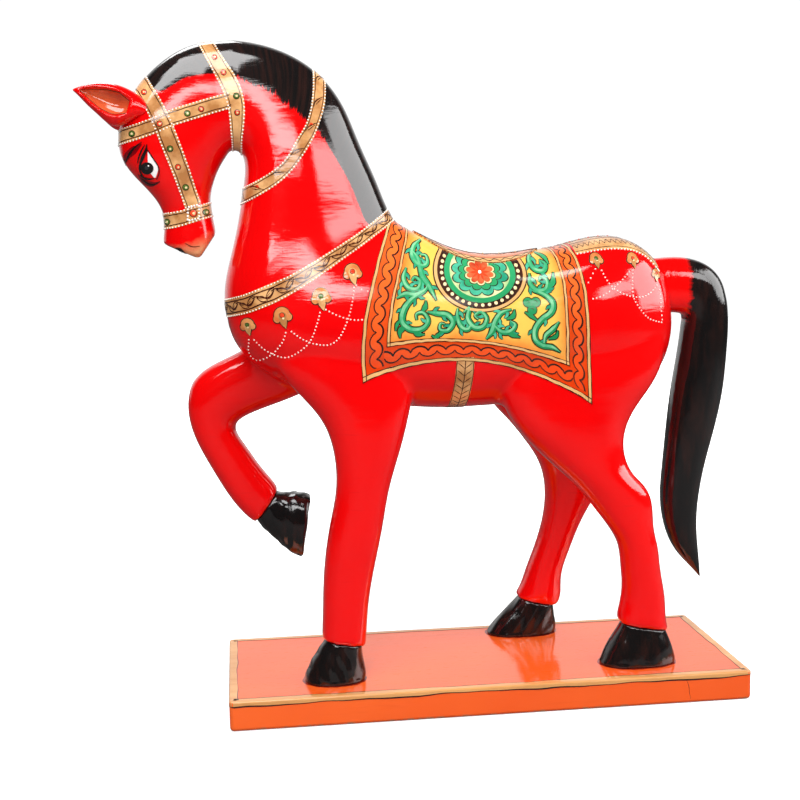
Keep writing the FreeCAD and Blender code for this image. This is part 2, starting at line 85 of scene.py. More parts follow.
class Shader:
    """The nodes of a new material or world, with short ways to add and join them."""

    def __init__(self, name, store=bpy.data.materials, surface="Principled BSDF"):
        self.owner = store.new(name)
        self.owner.use_nodes = True
        self.tree = self.owner.node_tree
        self.surface = self.tree.nodes[surface]

    def put(self, socket, value):
        if isinstance(value, bpy.types.NodeSocket):
            self.tree.links.new(value, socket)
        elif socket.type == "RGBA" and len(value) == 3:
            socket.default_value = (*value, 1.0)
        else:
            socket.default_value = value

    def fill(self, node, inputs):
        for name, value in inputs.items():
            self.put(node.inputs[name.replace("_", " ")], value)

    def set(self, **inputs):
        self.fill(self.surface, inputs)

    def node(self, kind, output, settings={}, **inputs):
        """Adds a node with its settings and inputs, and gives one of its outputs."""
        made = self.tree.nodes.new("ShaderNode" + kind)
        for key, value in settings.items():
            setattr(made, key, value)
        self.fill(made, inputs)
        return made.outputs[output]

    def place(self, scale=(1, 1, 1)):
        return self.node("Mapping", "Vector", Vector=self.node("TexCoord", "Object"), Scale=scale)

    def noise(self, vector, scale, detail=4.0, roughness=0.55):
        return self.node("TexNoise", "Fac", Vector=vector, Scale=scale, Detail=detail, Roughness=roughness)

    def ramp(self, value, low, high, to_low=0.0, to_high=1.0):
        return self.node("MapRange", "Result", Value=value, From_Min=low, From_Max=high,
                         To_Min=to_low, To_Max=to_high)

    def mix(self, amount, first, second, kind="RGBA"):
        return self.node("Mix", "Result", {"data_type": kind}, Factor=amount, A=first, B=second)

    def math(self, operation, first, second=0.0):
        made = self.tree.nodes.new("ShaderNodeMath")
        made.operation = operation
        self.put(made.inputs[0], first)
        self.put(made.inputs[1], second)
        return made.outputs["Value"]

    def axis(self, name):
        return self.node("SeparateXYZ", name, Vector=self.place())

    def attribute(self, name):
        return self.node("Attribute", "Fac", {"attribute_name": name})

    def bump(self, height, strength, distance):
        return self.node("Bump", "Normal", Height=height, Strength=strength, Distance=distance)

    def varnish(self, ripple=0.13, grain=(1.0, 1.0, 6.0)):
        """Brushed gloss varnish: streaky ripples in a clear coat over satin paint."""
        broad = self.noise(self.place(grain), 22.0, 3.0)
        fine = self.noise(self.place(grain), 160.0, 5.0, 0.65)
        height = self.math("ADD", broad, self.math("MULTIPLY", fine, 0.22))
        normal = self.bump(height, ripple, 0.0012)
        self.set(Coat_Weight=1.0, Coat_IOR=1.68, Coat_Roughness=self.ramp(fine, 0.3, 0.8, 0.02, 0.07),
                 Coat_Normal=normal, Normal=normal, Specular_IOR_Level=0.02)
        return fine

    def painted(self, colour, grain, smooth=0.35, rough=0.5, **inputs):
        """The finished material; its roughness follows the grain."""
        self.set(Base_Color=colour, Roughness=self.ramp(grain, 0.3, 0.8, smooth, rough), **inputs)
        return self.owner


RED = (0.80, 0.001, 0.001)
DEEP_RED = (0.50, 0.0, 0.002)
BLACK = (0.006, 0.005, 0.005)
BROWN_BLACK = (0.024, 0.009, 0.007)
GOLD = (0.42, 0.175, 0.055)
PALE_GOLD = (0.78, 0.43, 0.18)
ORANGE = (0.66, 0.042, 0.003)
YELLOW = (0.78, 0.52, 0.09)
GREEN = (0.010, 0.21, 0.065)
LIT_GREEN = (0.035, 0.36, 0.14)
TEAL = (0.02, 0.27, 0.15)
LINE_BROWN = (0.07, 0.012, 0.005)
TAN = (0.66, 0.34, 0.12)


def red_lacquer(name, mane=False, muzzle=False):
    shader = Shader(name)
    fine = shader.varnish()
    cloud = shader.noise(shader.place(), 14.0, 3.0)
    colour = shader.mix(shader.ramp(cloud, 0.3, 0.75), RED, (0.72, 0.0, 0.001))
    streaks = shader.noise(shader.place((1.0, 1.0, 9.0)), 55.0, 4.0)
    colour = shader.mix(shader.ramp(streaks, 0.62, 0.85, 0.0, 0.35), colour, DEEP_RED)
    if muzzle:
        ragged = shader.math("MULTIPLY", shader.noise(shader.place(), 90.0), 0.010)
        height = shader.math("SUBTRACT", shader.axis("Z"), ragged)
        height = shader.math("SUBTRACT", height, shader.math("MULTIPLY", shader.axis("X"), 0.35))
        tan = shader.mix(shader.ramp(cloud, 0.35, 0.65), (0.72, 0.24, 0.10), (0.66, 0.33, 0.16))
        colour = shader.mix(shader.ramp(height, 0.3135, 0.3215, 1.0, 0.0), colour, tan)
    if mane:
        edge = shader.attribute("mane_edge")
        run = shader.attribute("mane_run")
        leaning = shader.math("ADD", run, shader.math("MULTIPLY", edge, 0.55))
        flow = shader.node("CombineXYZ", "Vector", X=leaning, Y=shader.math("MULTIPLY", edge, 0.07))
        hairs = shader.noise(flow, 0.75, 5.0, 0.75)
        locks = shader.noise(flow, 0.22, 2.0)
        reach = shader.math("ADD", shader.ramp(hairs, 0.3, 0.7, -2.9, 2.9),
                            shader.ramp(locks, 0.3, 0.7, -1.7, 1.7))
        loose = shader.math("MULTIPLY", shader.ramp(run, 62.0, 84.0, 0.16, 1.0),
                            shader.ramp(run, 126.0, 134.0, 1.0, 0.12))
        cover = shader.math("ADD", edge, shader.math("MULTIPLY", reach, loose))
        shine = shader.noise(flow, 0.5, 3.0)
        hair = shader.mix(shader.ramp(shine, 0.4, 0.75), BLACK, BROWN_BLACK)
        colour = shader.mix(shader.ramp(cover, -0.25, 0.75), colour, hair)
    return shader.painted(colour, fine, 0.28, 0.45)


def black_lacquer(name, ripple=0.3, red_root=False):
    shader = Shader(name)
    fine = shader.varnish(ripple, (4.0, 4.0, 1.0))
    streaks = shader.noise(shader.place((5.0, 5.0, 1.0)), 45.0, 4.0)
    colour = shader.mix(shader.ramp(streaks, 0.45, 0.8), BLACK, BROWN_BLACK)
    if red_root:
        brushed = shader.noise(shader.place((1.0, 5.0, 5.0)), 70.0, 4.0)
        across = shader.math("ADD", shader.axis("X"), shader.math("MULTIPLY", brushed, 0.008))
        sunk = shader.ramp(shader.axis("Z"), 0.216, 0.220, 1.0, 0.0)
        black = shader.math("MAXIMUM", shader.ramp(across, 0.1275, 0.1305), sunk)
        colour = shader.mix(black, RED, colour)
    return shader.painted(colour, fine, 0.22, 0.4)


def poster_paint(name, scale, stretch=(1, 1, 1)):
    """Opaque paint under the varnish: the shader, its brush marks and its uneven patches."""
    shader = Shader(name)
    return shader, shader.varnish(0.12), shader.noise(shader.place(stretch), scale, 4.0, 0.6)


def paint(name, light, dark, spread=(0.35, 0.7), scale=60.0, stretch=(1, 1, 1)):
    """One colour, uneven in the way of a loaded brush."""
    shader, fine, patches = poster_paint(name, scale, stretch)
    return shader.painted(shader.mix(shader.ramp(patches, *spread), light, dark), fine)


def cloth_paint_lit_from_above(name, low, high, bottom, top):
    """Painted light from above: a colour that fades up the flank from a darker low to a lighter high one."""
    shader, fine, patches = poster_paint(name, 45.0)
    height = shader.math("ADD", shader.axis("Z"), shader.ramp(patches, 0.3, 0.7, -0.01, 0.01))
    colour = shader.mix(shader.ramp(height, bottom * MM, top * MM), low, high)
    return shader.painted(colour, fine)


def panel_paint():
    """Yellow that turns orange towards the panel's edges."""
    shader, fine, patches = poster_paint("cloth_yellow", 60.0)
    inward = shader.math("ADD", shader.attribute("inward"), shader.ramp(patches, 0.3, 0.7, -2.0, 2.0))
    colour = shader.mix(shader.ramp(inward, 1.0, 9.5), (0.80, 0.20, 0.03), YELLOW)
    return shader.painted(colour, fine)


def plinth_lacquer():
    shader = Shader("orange_lacquer")
    fine = shader.varnish(0.12, (1.0, 6.0, 6.0))
    cloud = shader.noise(shader.place(), 9.0, 3.0)
    colour = shader.mix(shader.ramp(cloud, 0.3, 0.7), (0.88, 0.125, 0.018), (0.82, 0.095, 0.012))
    streaks = shader.noise(shader.place((0.6, 8.0, 8.0)), 40.0, 5.0)
    colour = shader.mix(shader.ramp(streaks, 0.6, 0.85, 0.0, 0.5), colour, (0.70, 0.07, 0.008))
    top_edge = shader.math("ABSOLUTE", shader.math("SUBTRACT", shader.axis("Z"), 0.0005))
    chips = shader.math("MULTIPLY", shader.ramp(top_edge, 0.0006, 0.0016, 1.0, 0.0),
                        shader.ramp(shader.noise(shader.place(), 120.0), 0.56, 0.62))
    colour = shader.mix(shader.math("MULTIPLY", chips, 0.8), colour, (0.42, 0.20, 0.10))
    return shader.painted(colour, fine, 0.25, 0.4)


def turned_wood():
    shader = Shader("turned_wood")
    rings = shader.noise(shader.place((1.0, 1.0, 0.12)), 260.0, 6.0, 0.6)
    colour = shader.mix(shader.ramp(rings, 0.35, 0.7), (0.66, 0.46, 0.26), (0.42, 0.26, 0.13))
    return shader.painted(colour, rings, 0.5, 0.7, Normal=shader.bump(rings, 0.3, 0.0004))


def zinc_steel():
    shader = Shader("zinc_steel")
    scratches = shader.noise(shader.place((1.0, 1.0, 12.0)), 300.0, 5.0)
    colour = shader.mix(shader.ramp(scratches, 0.3, 0.7), (0.62, 0.62, 0.60), (0.42, 0.42, 0.41))
    return shader.painted(colour, scratches, 0.25, 0.5, Metallic=1.0,
                          Normal=shader.bump(scratches, 0.2, 0.0002))


# ---- carved skin --------------------------------------------------------------------------------

class Mesh:
    """Points, triangles and smooth point normals, as arrays, in metres."""

    def __init__(self, points, triangles):
        self.points = points
        self.triangles = triangles
        self.normals = self.smooth_normals()

    def smooth_normals(self):
        a, b, c = (self.points[self.triangles[:, i]] for i in range(3))
        facing = np.cross(b - a, c - a)
        total = np.zeros_like(self.points)
        for corner in range(3):
            for axis in range(3):
                total[:, axis] += np.bincount(self.triangles[:, corner], facing[:, axis], len(total))
        return total / np.maximum(np.linalg.norm(total, axis=1, keepdims=True), 1e-12)

    def edges(self):
        pairs = np.concatenate([self.triangles[:, [0, 1]], self.triangles[:, [1, 2]],
                                self.triangles[:, [2, 0]]])
        return np.unique(np.sort(pairs, axis=1), axis=0)


def new_mesh(name, points, faces):
    data = bpy.data.meshes.new(name)
    data.from_pydata(points, [], faces)
    return data


def add_object(name, data):
    made = bpy.data.objects.new(name, data)
    bpy.context.scene.collection.objects.link(made)
    return made


def shade(data, sharp_degrees):
    """Smooth shading, but for edges that bend more than this."""
    data.polygons.foreach_set("use_smooth", [True] * len(data.polygons))
    data.set_sharp_from_angle(angle=math.radians(sharp_degrees))


def mesh_arrays(data):
    data.calc_loop_triangles()
    points = np.zeros(len(data.vertices) * 3)
    data.vertices.foreach_get("co", points)
    triangles = np.zeros(len(data.loop_triangles) * 3, int)
    data.loop_triangles.foreach_get("vertices", triangles)
    return points.reshape(-1, 3), triangles.reshape(-1, 3)


def largest_island(points, triangles):
    """Drops the small closed shells that dowel bores leave inside."""
    label = np.arange(len(points))
    while True:
        low = label[triangles].min(axis=1)
        fresh = label.copy()
        for corner in range(3):
            np.minimum.at(fresh, triangles[:, corner], low)
        fresh = fresh[fresh]
        if np.array_equal(fresh, label):
            break
        label = fresh
    keep = label == np.bincount(label).argmax()
    index = np.cumsum(keep) - 1
    return points[keep], index[triangles[keep[triangles[:, 0]]]]


def remeshed(nodes, voxel):
    """One closed skin round the CAD solids of these nodes."""
    parts = [mesh_arrays(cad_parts[n].data) for n in nodes]
    starts = np.cumsum([0] + [len(p) for p, _ in parts])
    points = np.concatenate([p for p, _ in parts])
    triangles = np.concatenate([t + s for (_, t), s in zip(parts, starts)])
    data = new_mesh("remesh", points.tolist(), triangles.tolist())
    source = add_object("remesh", data)
    modifier = source.modifiers.new("voxels", "REMESH")
    modifier.mode = "VOXEL"
    modifier.voxel_size = voxel * MM
    result = source.evaluated_get(bpy.context.evaluated_depsgraph_get()).to_mesh()
    points, triangles = mesh_arrays(result)
    bpy.data.objects.remove(source)
    bpy.data.meshes.remove(data)
    return Mesh(*largest_island(points, triangles))


def relax(mesh, rounds, fillet_rounds=0):
    """Evens out the skin, and fills sharp hollows as putty and many coats of lacquer do."""
    edges = mesh.edges()
    count = len(mesh.points)
    degree = np.bincount(edges.ravel(), minlength=count)[:, None]

    def pull():
        total = np.zeros_like(mesh.points)
        for axis in range(3):
            values = mesh.points[:, axis]
            total[:, axis] = np.bincount(edges[:, 0], values[edges[:, 1]], count)
            total[:, axis] += np.bincount(edges[:, 1], values[edges[:, 0]], count)
        return total / degree - mesh.points

    for step in range(rounds):
        mesh.points = mesh.points + 0.5 * pull()
    mesh.normals = mesh.smooth_normals()
    for step in range(fillet_rounds):
        move = pull()
        hollow = (move * mesh.normals).sum(axis=1, keepdims=True)
        fill = np.maximum(hollow - CREASE_FLOOR * MM, 0.0)
        mesh.points = mesh.points + mesh.normals * fill * 0.9
        if step % 6 == 5:
            mesh.normals = mesh.smooth_normals()
    mesh.normals = mesh.smooth_normals()
    return mesh


def smoothstep(value, low, high):
    share = np.clip((value - low) / (high - low), 0, 1)
    return share * share * (3 - 2 * share)


def fuller_neck(mesh):
    """Rounds the neck out a little under its upper band."""
    x, z = mesh.points[:, 0] / MM, mesh.points[:, 2] / MM
    fullness = smoothstep(z, 266, 306) * (1 - smoothstep(z, 314, 350)) * smoothstep(x, -152, -136)
    mesh.points[:, 1] += mesh.normals[:, 1] * fullness * NECK_SWELL * MM
    mesh.normals = mesh.smooth_normals()
    return mesh


class Skin:
    """A carved surface to lay paint on: rays and nearest points with smooth normals."""

    def __init__(self, mesh):
        self.mesh = mesh
        self.points = [Vector(p) for p in mesh.points]
        self.normals = [Vector(n) for n in mesh.normals]
        self.tree = BVHTree.FromPolygons(self.points, mesh.triangles.tolist())

    def normal(self, place, face):
        corners = [int(i) for i in self.mesh.triangles[face]]
        a, b, c = (self.points[i] for i in corners)
        whole = (b - a).cross(c - a)
        size = max(whole.length_squared, 1e-20)
        first = (c - b).cross(place - b).dot(whole) / size
        second = (a - c).cross(place - c).dot(whole) / size
        weights = (first, second, 1 - first - second)
        blend = sum((self.normals[i] * w for i, w in zip(corners, weights)), Vector())
        return blend.normalized()

    def flank(self, x, z, side):
        """The outermost point at (x, z) seen from one side, -1 for the left, or None."""
        start = Vector((x * MM, side * BESIDE * MM, z * MM))
        place, _, face, _ = self.tree.ray_cast(start, Vector((0, -side, 0)))
        if place is None or place.y * side < -1 * MM:
            return None
        return place, self.normal(place, face)

    def nearest(self, place):
        place, _, face, _ = self.tree.find_nearest(place)
        return place, self.normal(place, face)


def glue_plane(first, second):
    """(centre, normal, radius) of the flat face that two CAD blocks share."""
    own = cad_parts[first].data
    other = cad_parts[second].data
    tree = BVHTree.FromPolygons([v.co for v in other.vertices], [p.vertices for p in other.polygons])
    shared = [v.co for v in own.vertices if tree.find_nearest(v.co, SHARED_GAP * MM)[0] is not None]
    places = np.array(shared)
    centre = (places.min(axis=0) + places.max(axis=0)) / 2
    _, _, axes = np.linalg.svd(places - places.mean(axis=0))
    radius = np.linalg.norm(places - centre, axis=1).max()
    normal = axes[2]
    middle = np.array([v.co for v in own.vertices]).mean(axis=0)
    if np.dot(middle - centre, normal) > 0:
        normal = -normal
    return centre, normal, radius


def parted_body(body):
    """Cuts the merged skin along the glue faces and says which block each triangle belongs to."""
    planes = {pair: glue_plane(*pair) for pair in GLUE_FACES}
    work = bmesh.new()
    data = new_mesh("body", body.points.tolist(), body.triangles.tolist())
    work.from_mesh(data)
    for centre, normal, radius in planes.values():
        faces = work.faces[:]
        middles = np.array([f.calc_center_median() for f in faces])
        height, flat = plane_distances(middles, centre, normal)
        near = np.flatnonzero((np.abs(height) < CUT_REACH * MM) & (flat < radius + CUT_REACH * MM))
        parts = {p for i in near for p in (faces[i], *faces[i].edges, *faces[i].verts)}
        bmesh.ops.bisect_plane(work, geom=list(parts), dist=1e-6, plane_co=centre, plane_no=normal)
    bmesh.ops.triangulate(work, faces=work.faces[:])
    work.to_mesh(data)
    work.free()
    cut = Mesh(*mesh_arrays(data))
    bpy.data.meshes.remove(data)

    points, faces, owners = [], [], []
    for number, name in enumerate(RED_BLOCKS):
        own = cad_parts[name].data
        faces += [[len(points) + v for v in p.vertices] for p in own.polygons]
        owners += [number] * len(own.polygons)
        points += [v.co.copy() for v in own.vertices]
    tree = BVHTree.FromPolygons(points, faces)
    centres = cut.points[cut.triangles].mean(axis=1)
    labels = np.array([owners[tree.find_nearest(Vector(c))[2]] for c in centres])
    for (first, second), (centre, normal, radius) in planes.items():
        a, b = RED_BLOCKS.index(first), RED_BLOCKS.index(second)
        height, flat = plane_distances(centres, centre, normal)
        close = (np.abs(height) < 6 * MM) & (flat < radius + 4 * MM) & ((labels == a) | (labels == b))
        labels[close] = np.where(height[close] < 0, a, b)
    return cut, labels


def plane_distances(places, centre, normal):
    """How far each place is from a plane, and from the plane's centre along the plane."""
    offset = places - centre
    height = offset @ normal
    return height, np.linalg.norm(offset - height[:, None] * normal, axis=1)


def closed_piece(name, cut, mask):
    """The masked triangles as an object, its open rims closed by flat fans, shaded as one skin."""
    triangles = cut.triangles[mask]
    used = np.unique(triangles)
    index = {int(v): i for i, v in enumerate(used)}
    points = [Vector(cut.points[v]) for v in used]
    normals = [Vector(cut.normals[v]) for v in used]
    faces = [[index[int(v)] for v in t] for t in triangles]
    loop_normals = [[normals[i] for i in f] for f in faces]
    open_edges = {}
    for face in faces:
        for a, b in zip(face, face[1:] + face[:1]):
            if open_edges.pop((b, a), None) is None:
                open_edges[(a, b)] = True
    following = dict(open_edges.keys())
    while following:
        start, step = following.popitem()
        rim = [start]
        while step != start and step in following:
            rim.append(step)
            step = following.pop(step)
        middle = sum((points[i] for i in rim), Vector()) / len(rim)
        points.append(middle)
        for a, b in zip(rim, rim[1:] + rim[:1]):
            flat = (points[a] - middle).cross(points[b] - middle)
            facing = -flat.normalized() if flat.length > 0 else Vector((0, 0, 1))
            faces.append([b, a, len(points) - 1])
            loop_normals.append([facing] * 3)
    data = new_mesh(name, [tuple(p) for p in points], faces)
    data.polygons.foreach_set("use_smooth", [True] * len(faces))
    data.normals_split_custom_set([tuple(n) for rows in loop_normals for n in rows])
    return add_object(name, data)


def finish_piece(made, material, slot, *nodes):
    made.data.materials.append(material)
    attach(made, "root")
    if nodes:
        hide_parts(*nodes)


KNIFE_WAVES = 330        # how close together the knife marks are, radians per metre
KNIFE_START = 0.8        # how far over the underside they start, mm
KNIFE_FADE = 2.0         # and over what height they grow to their full depth, mm


def small_block(node, voxel, rounds, chip=0.0, seed=0):
    """A small carved block: remeshed, evened, and given knife marks chip mm deep."""
    mesh = relax(remeshed([node], voxel), rounds)
    if chip:
        rng = np.random.default_rng(seed)
        waves = rng.normal(size=(7, 3))
        phases = rng.uniform(0, 2 * math.pi, 7)
        cuts = np.sin(mesh.points @ (waves.T * KNIFE_WAVES) + phases).mean(axis=1)
        over = mesh.points[:, 2] - mesh.points[:, 2].min() - KNIFE_START * MM
        held = np.clip(over / (KNIFE_FADE * MM), 0, 1)
        mesh.points = mesh.points + mesh.normals * (cuts * held * chip * MM)[:, None]
    data = new_mesh(node, mesh.points.tolist(), mesh.triangles.tolist())
    shade(data, 55)
    return add_object("carved_" + node, data)


# ---- paint laid on the skin ---------------------------------------------------------------------

def smooth_curve(points, spacing=1.0):
    """Points along a Catmull-Rom curve through the given ones."""
    chain = [np.array(p, float) for p in points]
    chain = [2 * chain[0] - chain[1], *chain, 2 * chain[-1] - chain[-2]]
    out = []
    for a, b, c, d in zip(chain, chain[1:], chain[2:], chain[3:]):
        steps = max(2, int(np.linalg.norm(c - b) / spacing))
        for i in range(steps):
            t = i / steps
            out.append(0.5 * (2 * b + (c - a) * t + (2 * a - 5 * b + 4 * c - d) * t * t
                              + (3 * b - a - 3 * c + d) * t ** 3))
    out.append(chain[-2])
    return np.array(out)


def ripple(turn, harmonics, phases):
    """A sum of sine waves, for the unsteady edges of what is painted by hand."""
    return sum(math.sin(turn * k + p) for k, p in zip(harmonics, phases))


def gaps(curve):
    """The lengths of a polyline's pieces."""
    return np.linalg.norm(np.diff(curve, axis=0), axis=1)


def along(curve, shares):
    """Points at shares of a polyline's length."""
    reach = np.concatenate([[0], np.cumsum(gaps(curve))])
    return np.stack([np.interp(np.array(shares) * reach[-1], reach, curve[:, k])
                     for k in range(curve.shape[1])], axis=1)


class Flank:
    """Lays side-view coordinates on one side of a skin."""

    def __init__(self, skin, side):
        self.skin = skin
        self.side = side

    def at(self, x, z):
        hit = self.skin.flank(x, z, self.side)
        if hit is None:
            hit = self.skin.nearest(Vector((x * MM, self.side * 2 * MM, z * MM)))
        return hit


class Sheet:
    """A grid of (point, normal) on the skin.

    at() takes mm along its length and a share of its width.
    """

    def __init__(self, rows, closed):
        self.places = np.array([[tuple(p) for p, _ in row] for row in rows])
        self.normals = np.array([[tuple(n) for _, n in row] for row in rows])
        self.closed = closed
        middle = self.places[:, self.places.shape[1] // 2]
        if closed:
            middle = np.concatenate([middle, middle[:1]])
        self.reach = np.concatenate([[0], np.cumsum(gaps(middle) / MM)])
        self.length = self.reach[-1]
        self.width = (gaps(self.places[len(rows) // 3]) / MM).sum()

    def at(self, along_mm, share):
        count = len(self.places)
        if self.closed:
            along_mm = along_mm % self.length
        along_mm = min(max(along_mm, 0.0), self.length)
        i = int(min(np.searchsorted(self.reach, along_mm, side="right") - 1, len(self.reach) - 2))
        t = (along_mm - self.reach[i]) / max(self.reach[i + 1] - self.reach[i], 1e-9)
        rows = (i % count, (i + 1) % count)
        span = min(max(share, 0.0), 1.0) * (self.places.shape[1] - 1)
        j = int(min(span, self.places.shape[1] - 2))
        u = span - j
        result = []
        for grid in (self.places, self.normals):
            first = grid[rows[0], j] * (1 - u) + grid[rows[0], j + 1] * u
            second = grid[rows[1], j] * (1 - u) + grid[rows[1], j + 1] * u
            result.append(Vector(first * (1 - t) + second * t))
        return result[0], result[1].normalized()

    def strip(self, low, high, columns=3, start=0.0, stop=1.0, wobble=0.0, seed=0):
        """The part of the sheet between two shares of its width, with a hand-drawn wobble (mm)."""
        steps = max(8, int(self.length * (stop - start) / 1.2))
        full = self.closed and start == 0.0 and stop == 1.0
        shares = [start + (stop - start) * i / (steps if full else steps - 1) for i in range(steps)]
        rng = random.Random(seed)
        phases = [rng.uniform(0, 2 * math.pi) for _ in range(4)]
        rows = []
        for share in shares:
            shift = ripple(2 * math.pi * share, (3, 7, 12, 19), phases) / 4 * (wobble / self.width)
            rows.append([self.at(share * self.length, low + (high - low) * j / (columns - 1) + shift)
                         for j in range(columns)])
        return Sheet(rows, full)

    def grid(self, rows, shares):
        """The sheet laid out again, in rows at these shares of its width."""
        return Sheet([[self.at(s * self.length, share) for share in shares]
                      for s in np.linspace(0, 1, rows)], False)


CURVE_SAMPLES = 240
HALVINGS = 12            # rounds of closing in on where a curve leaves the skin


def lifted_curve(curve):
    """(start, stop) shares between which a side-view curve lies over the skin."""
    def over(share):
        x, z = along(curve, [share])[0]
        return skin.flank(x, z, -1) is not None

    inside = [s for s in np.linspace(0, 1, CURVE_SAMPLES) if over(s)]
    if not inside:
        return [0.0, 0.0]
    step = 1 / (CURVE_SAMPLES - 1)
    ends = []
    for edge, outside in ((inside[0], inside[0] - step), (inside[-1], inside[-1] + step)):
        if 0 <= outside <= 1:
            for _ in range(HALVINGS):
                middle = (edge + outside) / 2
                if over(middle):
                    edge = middle
                else:
                    outside = middle
        ends.append(edge)
    return ends


def hoop(curve, steps, closed=False, ridge=0.02):
    """Places up the near flank on a side-view curve, over the back and down the far flank.

    Closed, they go on under the low end of the curve. Near the ridge they take the nearest point.
    """
    start, stop = lifted_curve(curve)
    column = []
    for i in range(steps):
        if closed:
            angle = 2 * math.pi * i / steps
            share, near, level = (1 - math.cos(angle)) / 2, angle <= math.pi, math.sin(angle)
        else:
            angle = math.pi * i / (steps - 1)
            share, near, level = math.sin(angle), angle <= math.pi / 2, math.cos(angle)
        x, z = along(curve, [start + (stop - start) * share])[0]
        hit = None if abs(level) < ridge else skin.flank(x, z, -1 if near else 1)
        column.append(hit or skin.nearest(Vector((x * MM, 0, z * MM))))
    return column


def wrapped_sheet(edges, columns, steps, closed=True):
    """A sheet round the body between two side-view curves."""
    curves = [smooth_curve(edge) for edge in edges]
    shares = np.linspace(0, 1, max(len(curve) for curve in curves))
    first, second = (along(curve, shares) for curve in curves)
    hoops = [hoop(first + (second - first) * j / (columns - 1), steps, closed, 1e-6)
             for j in range(columns)]
    return Sheet([list(row) for row in zip(*hoops)], closed)


BRUSHES = []


class Brush:
    """Collects strokes of one paint and makes them one object of thin closed bodies."""

    def __init__(self, name, material, slot="horse_paint"):
        self.name = name
        self.material = material
        self.slot = slot
        self.points = []
        self.faces = []
        self.inward = []
        BRUSHES.append(self)

    def slab(self, grid, lift, depth, closed=False):
        """A grid of (point, normal) as a closed slab from depth under the skin to lift over it."""
        rows, columns = len(grid), len(grid[0])
        start = len(self.points)
        for level in (lift, -depth):
            for row in grid:
                self.points += [tuple(p + n * (level * MM)) for p, n in row]

        def spot(i, j, layer):
            return start + layer * rows * columns + (i % rows) * columns + j

        for i in range(rows if closed else rows - 1):
            for j in range(columns - 1):
                ring = ((i, j), (i, j + 1), (i + 1, j + 1), (i + 1, j))
                self.faces.append(tuple(spot(*corner, 0) for corner in ring))
                self.faces.append(tuple(spot(*corner, 1) for corner in ring[::-1]))
            for j, flip in ((0, False), (columns - 1, True)):
                wall = (spot(i, j, 0), spot(i + 1, j, 0), spot(i + 1, j, 1), spot(i, j, 1))
                self.faces.append(wall[::-1] if flip else wall)
        if not closed:
            for i, flip in ((0, True), (rows - 1, False)):
                for j in range(columns - 1):
                    wall = (spot(i, j, 0), spot(i, j + 1, 0), spot(i, j + 1, 1), spot(i, j, 1))
                    self.faces.append(wall[::-1] if flip else wall)

    def sheet(self, sheet, lift):
        rows = [[(Vector(p), Vector(n)) for p, n in zip(ps, ns)]
                for ps, ns in zip(sheet.places, sheet.normals)]
        self.slab(rows, lift, 0.3, sheet.closed)

    def stroke(self, ground, points, widths, lift, spacing=0.7, columns=3, curve=True):
        """A brush stroke along points; widths are spread evenly along it."""
        path = smooth_curve(points, spacing) if curve else np.array(points, float)
        count = max(4, int(gaps(path).sum() / spacing))
        shares = np.linspace(0, 1, count)
        path = along(path, shares)
        sizes = np.interp(shares, np.linspace(0, 1, len(widths)), widths)
        grid = []
        for i in range(count):
            ahead = path[min(i + 1, count - 1)] - path[max(i - 1, 0)]
            ahead = ahead / max(np.linalg.norm(ahead), 1e-9)
            across = np.array([-ahead[1], ahead[0]]) * sizes[i] / 2
            grid.append([ground.at(*(path[i] + across * (2 * j / (columns - 1) - 1)))
                         for j in range(columns)])
        self.slab(grid, lift, 0.25)

    def blob(self, ground, centre, radius, lift, turns=20, rings=2, flat=1.0, depth=0.25, dome=0.0):
        """A filled shape round a centre. radius is a number or a function of the angle."""
        outline = []
        for i in range(turns):
            angle = 2 * math.pi * i / turns
            size = radius(angle) if callable(radius) else radius
            outline.append((size * math.cos(angle), size * math.sin(angle) * flat))
        start = len(self.points)

        def lay(share, level):
            for dx, dz in outline if share else ((0, 0),):
                place, normal = ground.at(centre[0] + dx * share, centre[1] + dz * share)
                self.points.append(tuple(place + normal * (level * MM)))

        for ring in range(rings + 1):
            share = ring / rings
            lay(share, lift + dome * (1 - share * share))
        lay(1, -depth)
        lay(0, -depth)
        last = len(self.points) - 1
        for i in range(turns):
            k = (i + 1) % turns
            self.faces.append((start, start + 1 + i, start + 1 + k))
            for ring in range(rings):
                a = start + 1 + ring * turns
                self.faces.append((a + i, a + turns + i, a + turns + k, a + k))
            a = start + 1 + rings * turns
            self.faces.append((last, a + k, a + i))

    def bead(self, place, normal, radius, height):
        """A dot of thick paint: three rings of eight points and a top."""
        side = normal.orthogonal().normalized()
        other = normal.cross(side)
        start = len(self.points)
        for level, size in ((-0.25, 1.0), (0.35, 0.94), (0.82, 0.55)):
            for i in range(8):
                angle = 2 * math.pi * i / 8
                out = (side * math.cos(angle) + other * math.sin(angle)) * (radius * size * MM)
                self.points.append(tuple(place + out + normal * (height * level * MM)))
        self.points.append(tuple(place + normal * (height * MM)))
        top = start + 24
        self.faces.append(tuple(range(start + 7, start - 1, -1)))
        for i in range(8):
            k = (i + 1) % 8
            for ring in (0, 8):
                a = start + ring
                self.faces.append((a + i, a + k, a + 8 + k, a + 8 + i))
            self.faces.append((start + 16 + i, start + 16 + k, top))

    def make(self):
        data = new_mesh(self.name, self.points, self.faces)
        work = bmesh.new()
        work.from_mesh(data)
        bmesh.ops.recalc_face_normals(work, faces=work.faces[:])
        work.to_mesh(data)
        work.free()
        shade(data, 48)
        if self.inward:
            data.attributes.new("inward", "FLOAT", "POINT").data.foreach_set("value", self.inward)
        finish_piece(add_object(self.name, data), self.material, self.slot)


# ---- the horse ----------------------------------------------------------------------------------

body = fuller_neck(relax(remeshed(RED_BLOCKS, BODY_VOXEL), 4, FILLET_ROUNDS))
skin = Skin(body)
LEFT = Flank(skin, -1)
RIGHT = Flank(skin, 1)

